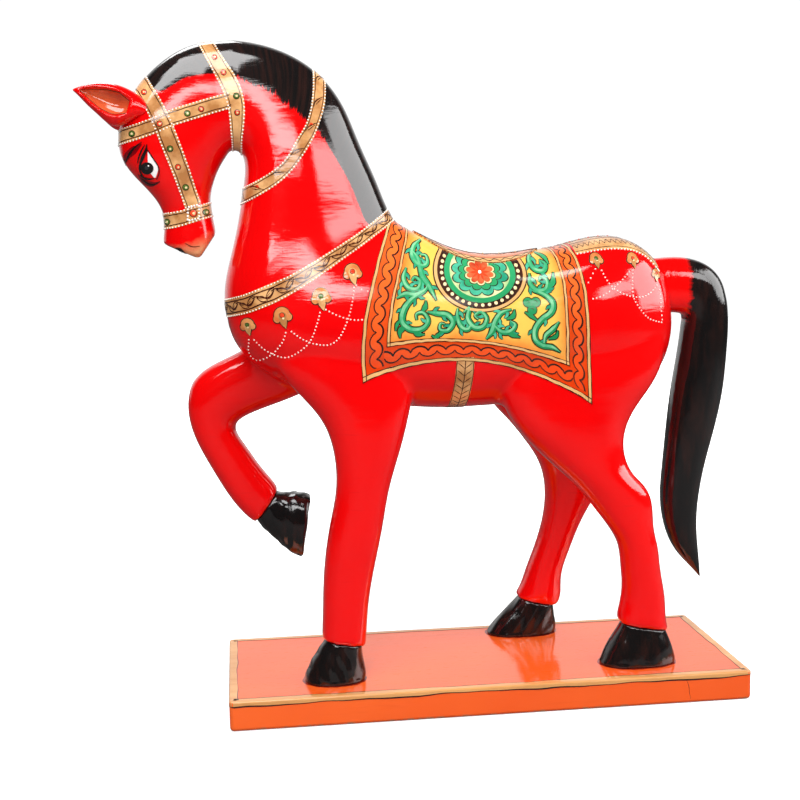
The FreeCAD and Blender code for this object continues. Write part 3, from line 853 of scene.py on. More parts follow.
dark = Brush("dark_paint", paint("dark_ring_paint", (0.06, 0.02, 0.012), BLACK, (0.4, 0.7)))
ear_inner = Brush("ear_hollows", paint("ear_paint", (0.62, 0.10, 0.03), (0.40, 0.035, 0.012), (0.3, 0.7)))
EAR_HOLLOW = [(-219.2, 349.1), (-214.1, 347.3), (-207.6, 344.7), (-199.8, 341.9), (-194.0, 340.0)]

# Lower edge of the painted mane, from between the ears to the withers.
MANE_EDGE = [(-192, 374), (-186.5, 361), (-181, 350.5), (-175.5, 348.6), (-170, 351.6), (-163, 355.4),
             (-152, 357.5), (-140, 357.5), (-131, 354), (-120, 349), (-113, 344.5), (-107, 340),
             (-101, 334.5), (-96, 330.5), (-90, 323.8), (-83, 312.3), (-75.5, 298.8), (-70.5, 286.3),
             (-66.5, 277), (-60, 275), (-48, 284), (-30, 298)]


def add_mane(piece):
    """Stores how far each point lies above the mane's edge, and how far along it, in mm."""
    edge = smooth_curve(MANE_EDGE)
    points = np.zeros(len(piece.data.vertices) * 3)
    piece.data.vertices.foreach_get("co", points)
    spots = points.reshape(-1, 3)[:, [0, 2]] / MM
    starts, steps = edge[:-1], np.diff(edge, axis=0)
    lengths = np.linalg.norm(steps, axis=1)
    reach = np.concatenate([[0], np.cumsum(lengths)[:-1]])
    best, height, run = np.full(len(spots), 1e9), np.zeros(len(spots)), np.zeros(len(spots))
    for start, step, length, passed in zip(starts, steps, lengths, reach):
        offset = spots - start
        share = np.clip(offset @ step / length ** 2, 0, 1)
        gap = np.linalg.norm(offset - share[:, None] * step, axis=1)
        closer = gap < best
        sign = np.sign(step[0] * offset[:, 1] - step[1] * offset[:, 0])
        best[closer] = gap[closer]
        height[closer] = (gap * sign)[closer]
        run[closer] = passed + share[closer] * length
    for name, values in (("mane_edge", height), ("mane_run", run)):
        piece.data.attributes.new(name, "FLOAT", "POINT").data.foreach_set("value", values)


def carved_body():
    cut, labels = parted_body(body)
    plain = red_lacquer("red_lacquer")
    maned = red_lacquer("red_lacquer_mane", mane=True)
    special = {"trunk": maned, "neck": maned,
               "head": red_lacquer("red_lacquer_head", mane=True, muzzle=True)}
    for number, node in enumerate(RED_BLOCKS):
        piece = closed_piece("carved_" + node, cut, labels == number)
        if node in special:
            add_mane(piece)
        finish_piece(piece, special.get(node, plain), "horse_paint", node)


def small_blocks():
    red = bpy.data.materials["red_lacquer"]
    for node, side in zip(EARS, (-1, 1)):
        ear = small_block(node, EAR_VOXEL, 3)
        finish_piece(ear, red, "horse_paint", node)
        ground = Flank(Skin(Mesh(*mesh_arrays(ear.data))), side)
        dark.stroke(ground, EAR_HOLLOW, [0.4, 6.0, 10.9, 12.6, 7.4], 0.1, columns=11)
        ear_inner.stroke(ground, EAR_HOLLOW, [0.2, 5.6, 10.4, 12.0, 6.8], 0.16, columns=11)
    hoof_paint = black_lacquer("hoof_lacquer", 0.36)
    for number, node in enumerate(HOOVES):
        finish_piece(small_block(node, HOOF_VOXEL, 3, 0.9, number), hoof_paint, "black_paint", node)
    tail_paint = black_lacquer("tail_lacquer", 0.3, True)
    finish_piece(small_block("tail", TAIL_VOXEL, 4), tail_paint, "black_paint", "tail")
    wood = turned_wood()
    for node in DOWELS:
        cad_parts[node].data.materials[0] = wood
    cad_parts["plinth_screws"].data.materials[0] = zinc_steel()
    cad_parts["plinth"].data.materials[0] = plinth_lacquer()


# ---- harness ------------------------------------------------------------------------------------

gold = Brush("gold_bands", paint("gold_paint", PALE_GOLD, GOLD, (0.38, 0.62), 70.0))
lines = Brush("brown_lines", paint("line_paint", LINE_BROWN, BLACK, (0.4, 0.8), 90.0))
beads = Brush("bead_dots", paint("bead_paint", (0.97, 0.93, 0.86), (0.90, 0.80, 0.68), (0.5, 0.8), 80.0))
green_rings = Brush("green_stud_rings", paint("stud_green", (0.10, 0.17, 0.02), (0.04, 0.08, 0.02)))
jewel_hearts = Brush("jewel_hearts", paint("heart_paint", (0.86, 0.74, 0.42), (0.70, 0.50, 0.22)))
red_rings = Brush("red_stud_rings", paint("stud_red", (0.80, 0.07, 0.02), (0.55, 0.03, 0.01)))
BEAD_PITCH = 1.95
BEAD_RADIUS = 0.52
BRAID_PITCH = 11.5


def bead_row(sheet, share):
    count = int(sheet.length / BEAD_PITCH)
    for i in range(count):
        beads.bead(*sheet.at(sheet.length * (i + 0.5) / count, share), BEAD_RADIUS, 0.7)


def edged_band(edges, columns, steps, seed, closed=True):
    """A gold band round the body, with a thin brown line and a row of beads along each edge."""
    sheet = wrapped_sheet(edges, columns, steps, closed)
    gold.sheet(sheet.strip(0.0, 1.0, max(4, int(sheet.width / 2.2)), wobble=0.1, seed=seed), 0.3)
    half_line, line_inset, bead_inset = (mm / sheet.width for mm in (0.25, 1.5, 0.35))
    for share in (line_inset, 1 - line_inset):
        lines.sheet(sheet.strip(share - half_line, share + half_line, 2, wobble=0.25, seed=seed + 1), 0.38)
    bead_row(sheet, bead_inset)
    bead_row(sheet, 1 - bead_inset)
    return sheet


class OnSheet:
    """Lays (mm along, mm from the middle) coordinates on a sheet."""

    def __init__(self, sheet):
        self.sheet = sheet

    def at(self, along_mm, offset):
        return self.sheet.at(along_mm, 0.5 + offset / self.sheet.width)


def braid(sheet):
    """A wavy stem with slanting leaves, drawn along the collar."""
    ground = OnSheet(sheet)
    count = int(sheet.length / BRAID_PITCH)
    pitch = sheet.length / count
    reach = sheet.width * 0.27
    for i in range(count):
        s = (i + 0.5) * pitch
        stem = [(s - pitch * 0.55, -reach * 0.5), (s - pitch * 0.3, -reach * 0.6), (s, 0),
                (s + pitch * 0.3, reach * 0.6), (s + pitch * 0.5, reach * 0.1),
                (s + pitch * 0.6, -reach * 0.4)]
        lines.stroke(ground, stem, [0.3, 0.5, 0.55, 0.5, 0.3], 0.42)
        for side, shift in ((1, -0.30), (-1, 0.12)):
            root = (s + pitch * shift, -reach * 0.35 * side)
            tip = (s + pitch * (shift + 0.52), reach * 0.85 * side)
            middle = ((root[0] + tip[0]) / 2, (root[1] + tip[1]) / 2)
            for bulge in (-0.95, 0.95):
                lines.stroke(ground, [root, (middle[0] - 0.35 * bulge * side, middle[1] + bulge), tip],
                             [0.25, 0.5, 0.15], 0.42)
            lines.stroke(ground, [root, middle], [0.15, 0.3, 0.1], 0.42)


def stud(ground, place, size, rings):
    """A painted jewel: a dark ring, a coloured ring and a pale heart."""
    dark.blob(ground, place, size * 1.14, 0.45, 16)
    rings.blob(ground, place, size * 0.92, 0.57, 16, dome=0.2)
    heart = (place[0] + size * 0.12, place[1] - size * 0.05)
    jewel_hearts.blob(ground, heart, size * 0.40, 0.90, 10, 1)


# Side-view curves of each band's two edges.
COLLAR = (
    [(-157, 231.5), (-144, 236.2), (-135, 238.8), (-120, 244.8), (-110, 249), (-100, 254.3), (-90, 260),
     (-80, 266), (-70, 272.2), (-60, 279.3), (-40, 294)],
    [(-155, 221.5), (-143, 225.8), (-133, 228.5), (-120, 233.5), (-110, 238.5), (-100, 244.2),
     (-90, 250.7), (-80, 257.5), (-70, 264), (-60, 270.8), (-36, 287)])
NECKBAND = (
    [(-143, 293), (-133, 297.4), (-126, 300.5), (-119, 304.5), (-113, 309), (-108, 315), (-103.5, 323),
     (-99, 330), (-96, 338), (-94.5, 346), (-93.6, 356), (-93, 372)],
    [(-144, 284.5), (-134, 288.3), (-127, 291.5), (-119, 296), (-112, 301), (-106, 307), (-100, 315),
     (-95, 323), (-91, 332), (-88, 341), (-86.8, 350), (-86, 368)])
POLL_STRAP = (
    [(-138.6, 309), (-139.0, 321), (-139.6, 329), (-140.3, 338), (-142, 345.5), (-145.5, 354),
     (-149, 361), (-152.3, 367.5), (-158, 380), (-161, 387)],
    [(-133.5, 309), (-133.6, 321), (-132.4, 330), (-131.6, 340), (-133, 349.5), (-136.5, 357.5),
     (-140.5, 364), (-144.2, 370), (-149, 380), (-152, 388)])
NOSEBAND = (
    [(-190, 282.5), (-178.5, 283.6), (-170, 284.6), (-165, 285.8), (-158, 287.7), (-151, 290),
     (-142, 293)],
    [(-190, 273.5), (-178.5, 274.8), (-172, 275.5), (-165, 277.3), (-158, 279.4), (-150, 281.8),
     (-142, 284)])
BROWBAND = (
    [(-138.5, 339.8), (-150, 336.4), (-160, 333.4), (-170, 330.2), (-180, 326.2), (-190, 323),
     (-200, 320.8), (-210, 319)],
    [(-139.5, 348), (-150, 345.2), (-160, 342.3), (-170, 339.2), (-180, 335), (-190, 331.6),
     (-200, 329.3), (-210, 328)])
CHEEKPIECE = (
    [(-165.4, 285.5), (-168, 294), (-171, 303), (-174, 311.3), (-177, 319.5), (-180, 328),
     (-183, 335.5), (-186.4, 342.5), (-190.5, 349), (-199, 360)],
    [(-157.3, 289), (-160, 298.3), (-162.6, 307.5), (-165.6, 317), (-168.7, 326), (-171.6, 334),
     (-174.8, 340.8), (-178, 347), (-181.8, 353.5), (-190, 368)])
GIRTH = (
    [(-18.6, 202), (-19.2, 190), (-20.0, 180), (-20.4, 172), (-20.6, 160)],
    [(-8.4, 202), (-8.9, 190), (-9.7, 180), (-10.2, 172), (-10.4, 160)])
GREEN_STUDS = [(-192.5, 326.3), (-162.5, 336.7), (-172.4, 318), (-165, 297.5), (-175.8, 278.9),
               (-154.8, 283.9), (-135.9, 346)]
RED_STUDS = [(-177.5, 331.2), (-155, 339), (-168.6, 308.4), (-142.4, 358.6), (-135.7, 337.2),
             (-185.3, 348.5), (-147, 367)]
NOSE_SQUARE = [(-164.5, 279.2), (-164.2, 286.6), (-158.4, 288.0), (-158.2, 280.6), (-164.5, 279.2)]
TWISTS = 14              # twists drawn round the neckband


def harness():
    braid(edged_band(COLLAR, 7, 150, 1))
    neckband = edged_band(NECKBAND, 6, 130, 5)
    ground = OnSheet(neckband)
    for i in range(TWISTS):
        s = neckband.length * (i + 0.5) / TWISTS
        sweep = [(s - 6.5, -2.7), (s - 2.5, -2.0), (s + 2, 0.9), (s + 4.5, 2.7)]
        lines.stroke(ground, sweep, [0.2, 0.7, 0.5, 0.2], 0.42)
        lines.stroke(ground, [(a - 1.9, b * 0.75) for a, b in sweep[1:]], [0.15, 0.45, 0.15], 0.42)
        if i % 3 == 1:
            red_rings.stroke(ground, [(s - 3, -2.0), (s, -1.2), (s + 1.8, 1.0)], [0.2, 1.5, 0.2], 0.42)

    edged_band(POLL_STRAP, 6, 110, 9)
    edged_band(NOSEBAND, 6, 80, 13)
    edged_band(BROWBAND, 6, 110, 17, False)
    edged_band(CHEEKPIECE, 6, 120, 21, False)
    for ground in (LEFT, RIGHT):
        for place in GREEN_STUDS:
            stud(ground, place, 1.6, green_rings)
        for place in RED_STUDS:
            stud(ground, place, 1.45, red_rings)
        for a, b in zip(NOSE_SQUARE, NOSE_SQUARE[1:]):
            for share in (0.1, 0.35, 0.6, 0.85):
                spot = (a[0] + (b[0] - a[0]) * share, a[1] + (b[1] - a[1]) * share)
                beads.bead(*ground.at(*spot), 0.7, 0.95)
        stud(ground, (-161.4, 283.4), 1.9, red_rings)


# ---- face ---------------------------------------------------------------------------------------

white = Brush("eye_whites", paint("eye_white", (0.92, 0.90, 0.88), (0.80, 0.72, 0.70), (0.5, 0.9)))
black = Brush("eye_black", paint("eye_black_paint", BLACK, BROWN_BLACK, (0.5, 0.9)))
shade_paint = paint("eye_shade_paint", (0.26, 0.0, 0.003), (0.14, 0.0, 0.003), (0.3, 0.7), 90.0)
shades = Brush("eye_shade", shade_paint)
iris_grey = Brush("iris_grey", paint("iris_grey_paint", (0.03, 0.03, 0.035), (0.02, 0.02, 0.02)))

# Black strokes: (points, widths, height over the skin).
FACE_STROKES = [
    ([(-187.4, 303.3), (-189.2, 306.6), (-188.7, 310.2), (-187.1, 313.8), (-185.3, 317.4),
      (-184.6, 320.6)], [0.3, 0.7, 1.1, 1.8, 1.5, 0.3], 0.5),
    ([(-184.5, 317.6), (-181.6, 312.9), (-179.0, 308.4), (-178.9, 304.8), (-180.3, 301.9)],
     [0.5, 0.6, 0.6, 0.6, 0.3], 0.5),
    ([(-189.2, 304.6), (-187.0, 302.9), (-184.4, 302.2), (-181.6, 302.4)], [0.25, 0.8, 0.8, 0.3], 0.5),
    ([(-188.8, 302.6), (-184.8, 299.6), (-181.6, 299.3), (-178.7, 300.9)], [0.15, 0.7, 0.6, 0.15], 0.4),
    ([(-187.4, 321.8), (-190.6, 319.6), (-194.0, 316.2), (-197.0, 311.6)], [0.2, 0.9, 1.2, 0.3], 0.4),
    ([(-185.8, 320.4), (-187.6, 317.4), (-189.2, 314.2), (-190.3, 310.6)], [0.2, 0.8, 0.7, 0.2], 0.4),
    ([(-171.8, 264.4), (-169.6, 263.9), (-167.2, 262.0), (-166.4, 260.9)], [0.4, 1.5, 1.2, 0.3], 0.4),
]


def face():
    for ground in (LEFT, RIGHT):
        shades.stroke(ground, [(-198.8, 309.5), (-196.4, 314.2), (-192, 317.6), (-187.6, 320.6)],
                      [0.5, 3.6, 4.2, 0.6], 0.16, columns=4)
        shades.stroke(ground, [(-190.6, 305), (-187.5, 301.2), (-183.4, 299.4), (-178.8, 300.4)],
                      [0.4, 2.6, 2.6, 0.4], 0.16, columns=4)
        white.stroke(ground, [(-184.3, 316.6), (-183.5, 313.4), (-182.2, 309.5), (-181.6, 305.8),
                              (-181.2, 302.9)], [0.2, 2.2, 5.0, 4.9, 0.8], 0.3, columns=4)
        black.blob(ground, (-185.2, 307.9), lambda a: 3.35 + 0.2 * math.cos(2 * a), 0.42, 22, 2)
        iris_grey.blob(ground, (-185.3, 308.2), 1.1, 0.56, 10, 1)
        white.blob(ground, (-184.3, 309.2), 0.4, 0.66, 8, 1)
        for points, widths, lift in FACE_STROKES:
            black.stroke(ground, points, widths, lift)
        lines.stroke(ground, [(-166.5, 267.2), (-162.6, 265.2), (-158.4, 265.4)], [0.15, 0.5, 0.15], 0.3)


# ---- saddle cloth -------------------------------------------------------------------------------

# Orange border, darker low on the flank and lighter high up: painted light from above.
cloth_orange = Brush("cloth_border", cloth_paint_lit_from_above("cloth_orange", ORANGE, (0.75, 0.115, 0.018), 195, 265))
cloth_yellow = Brush("cloth_panel", panel_paint())
tan_lines = Brush("cloth_tan_lines", paint("tan_paint", (0.74, 0.44, 0.18), TAN, (0.3, 0.7), 50.0))
# Green scrolls, darker low on the flank and lighter high up: painted light from above.
scroll_green = Brush("cloth_scrolls", cloth_paint_lit_from_above("scroll_green", GREEN, LIT_GREEN, 205, 262))
scroll_teal = Brush("medallion_teal", paint("teal_paint", (0.07, 0.44, 0.27), TEAL, (0.42, 0.58), 90.0))
flower = Brush("medallion_flower",
               paint("flower_paint", (0.60, 0.14, 0.05), (0.46, 0.04, 0.015), (0.4, 0.65), 90.0))
# Pale green for the painted highlight along each scroll.
scroll_highlight = Brush("scroll_highlights",
                   paint("scroll_highlight_paint", (0.22, 0.58, 0.30), (0.06, 0.38, 0.18), (0.4, 0.62), 110.0))
light_ring = Brush("medallion_light_ring",
                   paint("light_ring_paint", (0.70, 0.70, 0.36), (0.36, 0.54, 0.24), (0.42, 0.62), 110.0))
# Ribbon, darker low on the flank and lighter high up: painted light from above.
ribbon = Brush("border_ribbon",
               cloth_paint_lit_from_above("ribbon_paint", (0.74, 0.055, 0.008), (0.86, 0.16, 0.025), 192, 256))

CLOTH_FRONT = [(-71.6, 189), (-72.2, 203), (-71.6, 215), (-69.6, 228), (-66.6, 240), (-63.0, 252),
               (-59.5, 262), (-55.5, 272), (-50, 284)]
CLOTH_REAR = [(58.2, 173.4), (58.0, 190), (57.6, 204), (57.0, 216), (56.2, 228), (55.4, 240),
              (54.0, 250), (52.2, 260), (49.5, 272)]
CLOTH_ARCH = 18.0        # how far the bottom edge arches above the line between its corners


def cloth_sheet():
    """The whole cloth: along it runs up the near flank, over the back and down the far flank."""
    shares = np.linspace(0, 1, 160)
    front, rear = (along(smooth_curve(edge), shares) for edge in (CLOTH_FRONT, CLOTH_REAR))
    hoops = []
    for u in np.arange(46) / 45:
        curve = front * (1 - u) + rear * u
        rise = CLOTH_ARCH * math.sin(math.pi * u) ** 0.85
        curve[:, 1] += rise * (1 - shares) ** 1.6
        hoops.append(hoop(curve, 90))
    return Sheet([list(row) for row in zip(*hoops)], False)


def across_sheet(sheet, start, stop, low=0.0, high=1.0, columns=4):
    """The part of a sheet between two places along it (mm), turned so that it runs across."""
    steps = max(12, int(sheet.width * (high - low) / 1.5))
    rows = []
    for i in range(steps):
        share = low + (high - low) * i / (steps - 1)
        rows.append([sheet.at(start + (stop - start) * j / (columns - 1), share) for j in range(columns)])
    return Sheet(rows, False)


def ruled_line(sheet, lift, seed):
    """A tan line with a thin dark line along each side."""
    tan_lines.sheet(sheet.strip(0.0, 1.0, 3, wobble=0.15, seed=seed), lift)
    edge = 0.75 / sheet.width
    for share in (0.0, 1.0):
        lines.sheet(sheet.strip(share - edge / 2, share + edge / 2, 2, wobble=0.3, seed=seed + 3),
                    lift + 0.08)


def waves(sheet, pitch):
    """The scalloped ribbon in the cloth's border: round bays that alternate from side to side."""
    ground = OnSheet(sheet)
    count = max(2, int(sheet.length / pitch))
    pitch = sheet.length / count
    per_bay = 12
    low, high, rows = [], [], []
    for i in range(per_bay * count + 1):
        s = pitch * i / per_bay
        swell = abs(math.sin(math.pi * i / per_bay)) ** 0.6
        other = abs(math.cos(math.pi * i / per_bay)) ** 0.6
        low.append((s, -sheet.width * (0.02 + 0.29 * swell)))
        high.append((s, sheet.width * (0.02 + 0.29 * other)))
        rows.append([ground.at(s, low[-1][1] + (high[-1][1] - low[-1][1]) * j / 5) for j in range(6)])
    ribbon.slab(rows, 0.22, 0.2)
    dark.stroke(ground, low, [0.62], 0.30, spacing=0.5, curve=False)
    dark.stroke(ground, high, [0.85], 0.30, spacing=0.5, curve=False)


SCROLLS = [
    # (points, widths)
    ([(-35, 267), (-40, 263.5), (-41.5, 258), (-38, 253), (-33.5, 253.5), (-33.5, 258), (-36.5, 258.6)],
     [0.6, 2.4, 3.0, 2.8, 2.2, 1.8, 0.8]),
    ([(-42, 262), (-38.5, 257), (-37.5, 251), (-36.5, 246.5), (-33, 241), (-29.5, 233.5)],
     [0.4, 2.2, 3.0, 3.4, 2.6, 0.3]),
    ([(-45.5, 252), (-47.5, 246), (-45, 241), (-40, 240.2), (-38, 244), (-41, 246.6), (-43, 244.4)],
     [0.4, 2.4, 3.0, 2.6, 2.2, 1.8, 0.7]),
    ([(-52, 235.2), (-47, 237.6), (-41, 237), (-35.5, 239.5), (-33.5, 243)], [0.3, 2.8, 3.0, 2.4, 0.6]),
    ([(-37, 238), (-43.5, 234.5), (-48, 229), (-49, 222.5), (-44.5, 218.2), (-38, 218.4),
      (-34.5, 222.5), (-37, 227), (-41, 226.5), (-41, 223.2)],
     [0.6, 2.4, 3.4, 3.6, 3.4, 3.2, 2.8, 2.2, 1.8, 0.7]),
    ([(-46, 221), (-50.5, 217.5), (-50.5, 213.4)], [1.0, 3.2, 0.3]),
    ([(-50, 224), (-52.2, 221), (-53, 217.5)], [0.5, 2.0, 0.3]),
    ([(-44, 219), (-41, 215.5), (-36.5, 215.4)], [0.6, 2.4, 0.3]),
    ([(-38.5, 227), (-36, 230.5), (-35.5, 234)], [0.8, 2.8, 0.3]),
    ([(-35, 227.5), (-29, 226.5), (-23.5, 225.6), (-20.6, 221.5), (-23.5, 217.2), (-28, 217.6),
      (-27.5, 221), (-25, 220.6)], [0.6, 2.6, 3.0, 3.0, 2.8, 2.2, 1.6, 0.6]),
    ([(-27, 217), (-30.5, 213.6), (-33, 214.8)], [0.8, 2.4, 0.3]),
    ([(-17.5, 229.2), (-18, 224), (-15.5, 218.5), (-11.8, 217.4), (-10, 220.6)], [0.4, 2.4, 3.0, 2.6, 0.5]),
    ([(-14.5, 226.5), (-10.8, 229.2), (-12.2, 223.5), (-8.5, 218.4), (-3.5, 218.8), (-1.5, 223.2),
      (-4.5, 226.8), (-8, 224.8), (-6, 222.6)], [0.4, 2.0, 2.8, 3.2, 3.0, 2.6, 2.2, 1.6, 0.6]),
    ([(13, 227.8), (7, 226), (3.5, 221.5), (1.5, 216), (-2, 211.6)], [0.4, 2.4, 3.2, 3.6, 0.4]),
    ([(2.5, 219.5), (7, 215.5), (12, 215.8), (14.8, 219.2), (12, 221.5)], [0.8, 2.6, 2.8, 2.2, 0.6]),
    ([(9, 215.2), (13.5, 213.6), (17.5, 212.2)], [0.8, 2.6, 0.3]),
    ([(9.5, 222.5), (13.5, 224.2), (14.5, 228)], [0.6, 2.8, 0.3]),
    ([(25.5, 237.5), (31.5, 235.8), (36, 231.5), (35.2, 226.2), (29.5, 221.8), (25.8, 216.5), (26, 210.8),
      (30.2, 207.4), (35.5, 206.4), (40.4, 203.4)], [0.6, 2.6, 3.2, 3.4, 3.2, 3.2, 3.2, 3.0, 2.8, 0.3]),
    ([(31, 208.5), (31.8, 213), (35.5, 216.2), (39.6, 220.6)], [0.8, 2.8, 3.0, 0.3]),
    ([(33, 211), (37.5, 212.5), (38.6, 216)], [0.6, 2.4, 0.3]),
    ([(29, 258.5), (26.5, 253.6), (28.5, 249.4), (33, 248.6), (35, 252.2), (32.2, 254.6)],
     [0.5, 2.4, 2.8, 2.6, 2.0, 0.7]),
    ([(25, 247.5), (24.6, 241.5), (28, 237.8), (32.8, 238.6), (34.2, 243), (31, 245.2), (29.6, 242.6)],
     [0.5, 2.4, 3.0, 2.8, 2.4, 1.8, 0.7]),
    ([(33.6, 238.6), (37, 242), (38.2, 248)], [0.8, 3.0, 0.3]),
    ([(32, 258.8), (35.4, 256.2), (36.6, 252)], [0.4, 2.4, 0.3]),
    ([(27, 221.5), (23.5, 224.2), (20, 226.4)], [0.8, 2.2, 0.4]),
]
LOBES = [(22.2, 231.6), (26.6, 231.6), (24.4, 227.4)]

MEDALLION = (-3.4, 248.6)
MEDALLION_SIZE = 26.8
MEDALLION_FLAT = 0.815   # its height over its width, seen from the side
MEDALLION_DOTS = 36


def on_medallion(size, angle):
    return (MEDALLION[0] + size * math.cos(angle),
            MEDALLION[1] + size * math.sin(angle) * MEDALLION_FLAT)


def ring(brush, ground, inner, outer, lift):
    """A flat ring of the medallion."""
    grid = []
    for i in range(90):
        row = []
        for size in np.linspace(inner, outer, max(2, int((outer - inner) / 1.6) + 2)):
            x, z = on_medallion(size, 2 * math.pi * i / 90)
            row.append(ground.at(x, min(z, seat_height(x) + 1.2)))
        grid.append(row)
    brush.slab(grid, lift, 0.25, True)


SEAT_LINE = [(-37.5, 271), (-34, 268.6), (-30, 265.8), (-25, 262.5), (-20, 259.6), (-15, 257.2),
             (-10, 255.4), (-5, 254.0), (0, 253.2), (5, 252.9), (10, 253.1), (15, 253.8), (20, 254.9),
             (25, 256.4), (30, 258.2), (36, 260.6)]


def seat_height(x):
    return float(np.interp(x, *zip(*SEAT_LINE)))


def petals(count, size, depth):
    """A rosette's outline: round lobes that meet in notches."""
    return lambda angle: size - depth * (1 - abs(math.sin(count * angle / 2)) ** 0.7)


def vine(ground, points, widths):
    """A green scroll with a dark outline, small leaves on its outside and a painted highlight along it."""
    leaves = []
    if len(points) > 4:
        curve = smooth_curve(points)
        for number, share in enumerate((0.12, 0.28, 0.44, 0.60, 0.76)):
            here, ahead = along(curve, [share, share + 0.04])
            way = (ahead - here) / max(np.linalg.norm(ahead - here), 1e-6)
            out = np.array([way[1], -way[0]]) * (1 if number % 2 else -1)
            leaves.append([here + out * 0.8, here + out * 2.6 + way * 0.9, here + out * 3.6 + way * 2.8])
    for leaf in leaves:
        dark.stroke(ground, leaf, [2.9, 2.6, 0.8], 0.32)
    dark.stroke(ground, points, [w + 1.15 for w in widths], 0.34, columns=4)
    for leaf in leaves:
        scroll_teal.stroke(ground, leaf, [1.9, 1.6, 0.2], 0.42)
    scroll_green.stroke(ground, points, widths, 0.46, columns=4)
    # Painted highlight: a pale stroke down the scroll, shifted up and to the left.
    if len(points) > 3:
        scroll_highlight.stroke(ground, [(x - 0.35, z + 0.35) for x, z in points],
                          [w * 0.5 for w in widths], 0.54)


def medallion(ground):
    size = MEDALLION_SIZE
    ring(dark, ground, size - 5.0, size + 0.4, 0.40)
    ring(tan_lines, ground, size - 2.1, size - 0.3, 0.50)
    ring(dark, ground, size - 6.4, size - 2.7, 0.46)
    ring(scroll_green, ground, size - 9.4, size - 6.2, 0.50)
    ring(light_ring, ground, 0.6, size - 9.2, 0.42)
    for i in range(MEDALLION_DOTS):
        x, z = on_medallion(size - 4.6, 2 * math.pi * i / MEDALLION_DOTS)
        if z < seat_height(x) - 1.0:
            jewel_hearts.blob(ground, (x, z), 1.0, 0.58, 10, 1, dome=0.25)
    flat = MEDALLION_FLAT * 0.95
    centre = (MEDALLION[0], MEDALLION[1] - 0.4)
    for brush, count, reach, depth, lift in (
            (dark, 12, 16.9, 2.8, 0.48), (scroll_teal, 12, 16.2, 2.8, 0.56),
            (dark, 12, 12.9, 2.2, 0.62), (scroll_green, 12, 12.3, 2.2, 0.68),
            (dark, 10, 9.6, 1.8, 0.74), (light_ring, 10, 9.1, 1.8, 0.80), (flower, 10, 8.2, 2.0, 0.86)):
        brush.blob(ground, centre, petals(count, reach, depth), lift, 120, 5, flat=flat)
    for i in range(10):
        angle = 2 * math.pi * i / 10
        ends = [(centre[0] + r * math.cos(angle), centre[1] + r * math.sin(angle) * flat)
                for r in (1.2, 3.2, 5.6)]
        red_rings.stroke(ground, ends, [0.9, 1.2, 0.2], 0.95)
    beads.blob(ground, centre, 0.9, 1.05, 10, 1, dome=0.2)


def saddle_cloth():
    cloth = cloth_sheet()
    cloth_orange.sheet(cloth, 0.14)
    length, width = cloth.length, cloth.width

    # Outer line: along the front and rear edges, then along both bottom edges.
    outer, inner_front, inner_rear, inner_low = 2.1, 12.4, 10.9, 10.4
    for low in (0.0, 1 - outer / width):
        ruled_line(cloth.strip(low, low + outer / width, 3), 0.3, 31)
    for start, stop in ((0.0, outer), (length, length - outer)):
        ruled_line(across_sheet(cloth, start, stop), 0.3, 37)

    # Inner panel and its line.
    f0, f1 = inner_front / width, 1 - inner_rear / width
    a0, a1 = inner_low, length - inner_low
    rows, columns = 70, 36
    panel = Sheet([[cloth.at(a0 + (a1 - a0) * i / rows, f0 + (f1 - f0) * j / columns)
                    for j in range(columns + 1)] for i in range(rows + 1)], False)
    cloth_yellow.sheet(panel, 0.24)
    cloth_yellow.inward = 2 * [min(panel.length * min(i, rows - i) / rows,
                                   panel.width * min(j, columns - j) / columns)
                               for i in range(rows + 1) for j in range(columns + 1)]
    line = 1.9
    for low in (0.0, 1 - line / panel.width):
        ruled_line(panel.strip(low, low + line / panel.width, 3), 0.36, 41)
    for start, stop in ((0.0, line), (panel.length, panel.length - line)):
        ruled_line(across_sheet(panel, start, stop), 0.36, 47)

    # Waves in the border.
    for low, high in ((outer / width, f0), (f1, 1 - outer / width)):
        waves(cloth.strip(low, high, 5, 0.02, 0.98), 9.6)
    for start, stop in ((outer, inner_low), (length - outer, length - inner_low)):
        waves(across_sheet(cloth, start, stop, f0 * 0.9, 1 - (1 - f1) * 0.9, 5), 9.2)

    for ground in (LEFT, RIGHT):
        for points, widths in SCROLLS:
            vine(ground, points, widths)
        for place in LOBES:
            lines.blob(ground, place, 3.0, 0.42, 16, 2)
            scroll_green.blob(ground, place, 2.55, 0.52, 16, 2)
            lines.stroke(ground, [(place[0] - 1, place[1] + 0.6), (place[0] + 0.4, place[1] + 0.9),
                                  (place[0] + 0.9, place[1] - 0.4)], [0.15, 0.4, 0.15], 0.6)
        medallion(ground)
    seat()


OVER_BACK = 300          # a height well over the back


def column_sheet(low_line, columns, steps):
    """A patch over the ridge whose lower edge follows low_line on each flank."""
    spots = along(smooth_curve(low_line), np.linspace(0, 1, columns))
    return Sheet([hoop(np.array([(x, z), (x, OVER_BACK)]), steps) for x, z in spots], False)


def seat():
    """The seat: a padded patch over the back with a waved border."""
    patch = column_sheet(SEAT_LINE, 60, 40)
    seat_orange = paint("seat_orange", (0.74, 0.20, 0.05), (0.66, 0.12, 0.025), (0.3, 0.7), 30.0)
    Brush("seat_panel", seat_orange).sheet(patch, 0.95)
    for low, high in ((0.0, 0.16), (0.84, 1.0)):
        tan_lines.sheet(patch.grid(70, np.linspace(low, high, 4)), 1.05)
    for share in (0.0, 0.16, 0.84, 1.0):
        lines.sheet(patch.grid(90, (share - 0.007, share + 0.007)), 1.15)
    for middle, swing in ((0.08, 0.035), (0.92, -0.035)):
        wave_line(patch, middle, swing, 12, 1.2)
    linked_rings(patch, 0.12, 4, 1.2, tan_lines)


# ---- pendants, swags, girth and croup strap -----------------------------------------------------

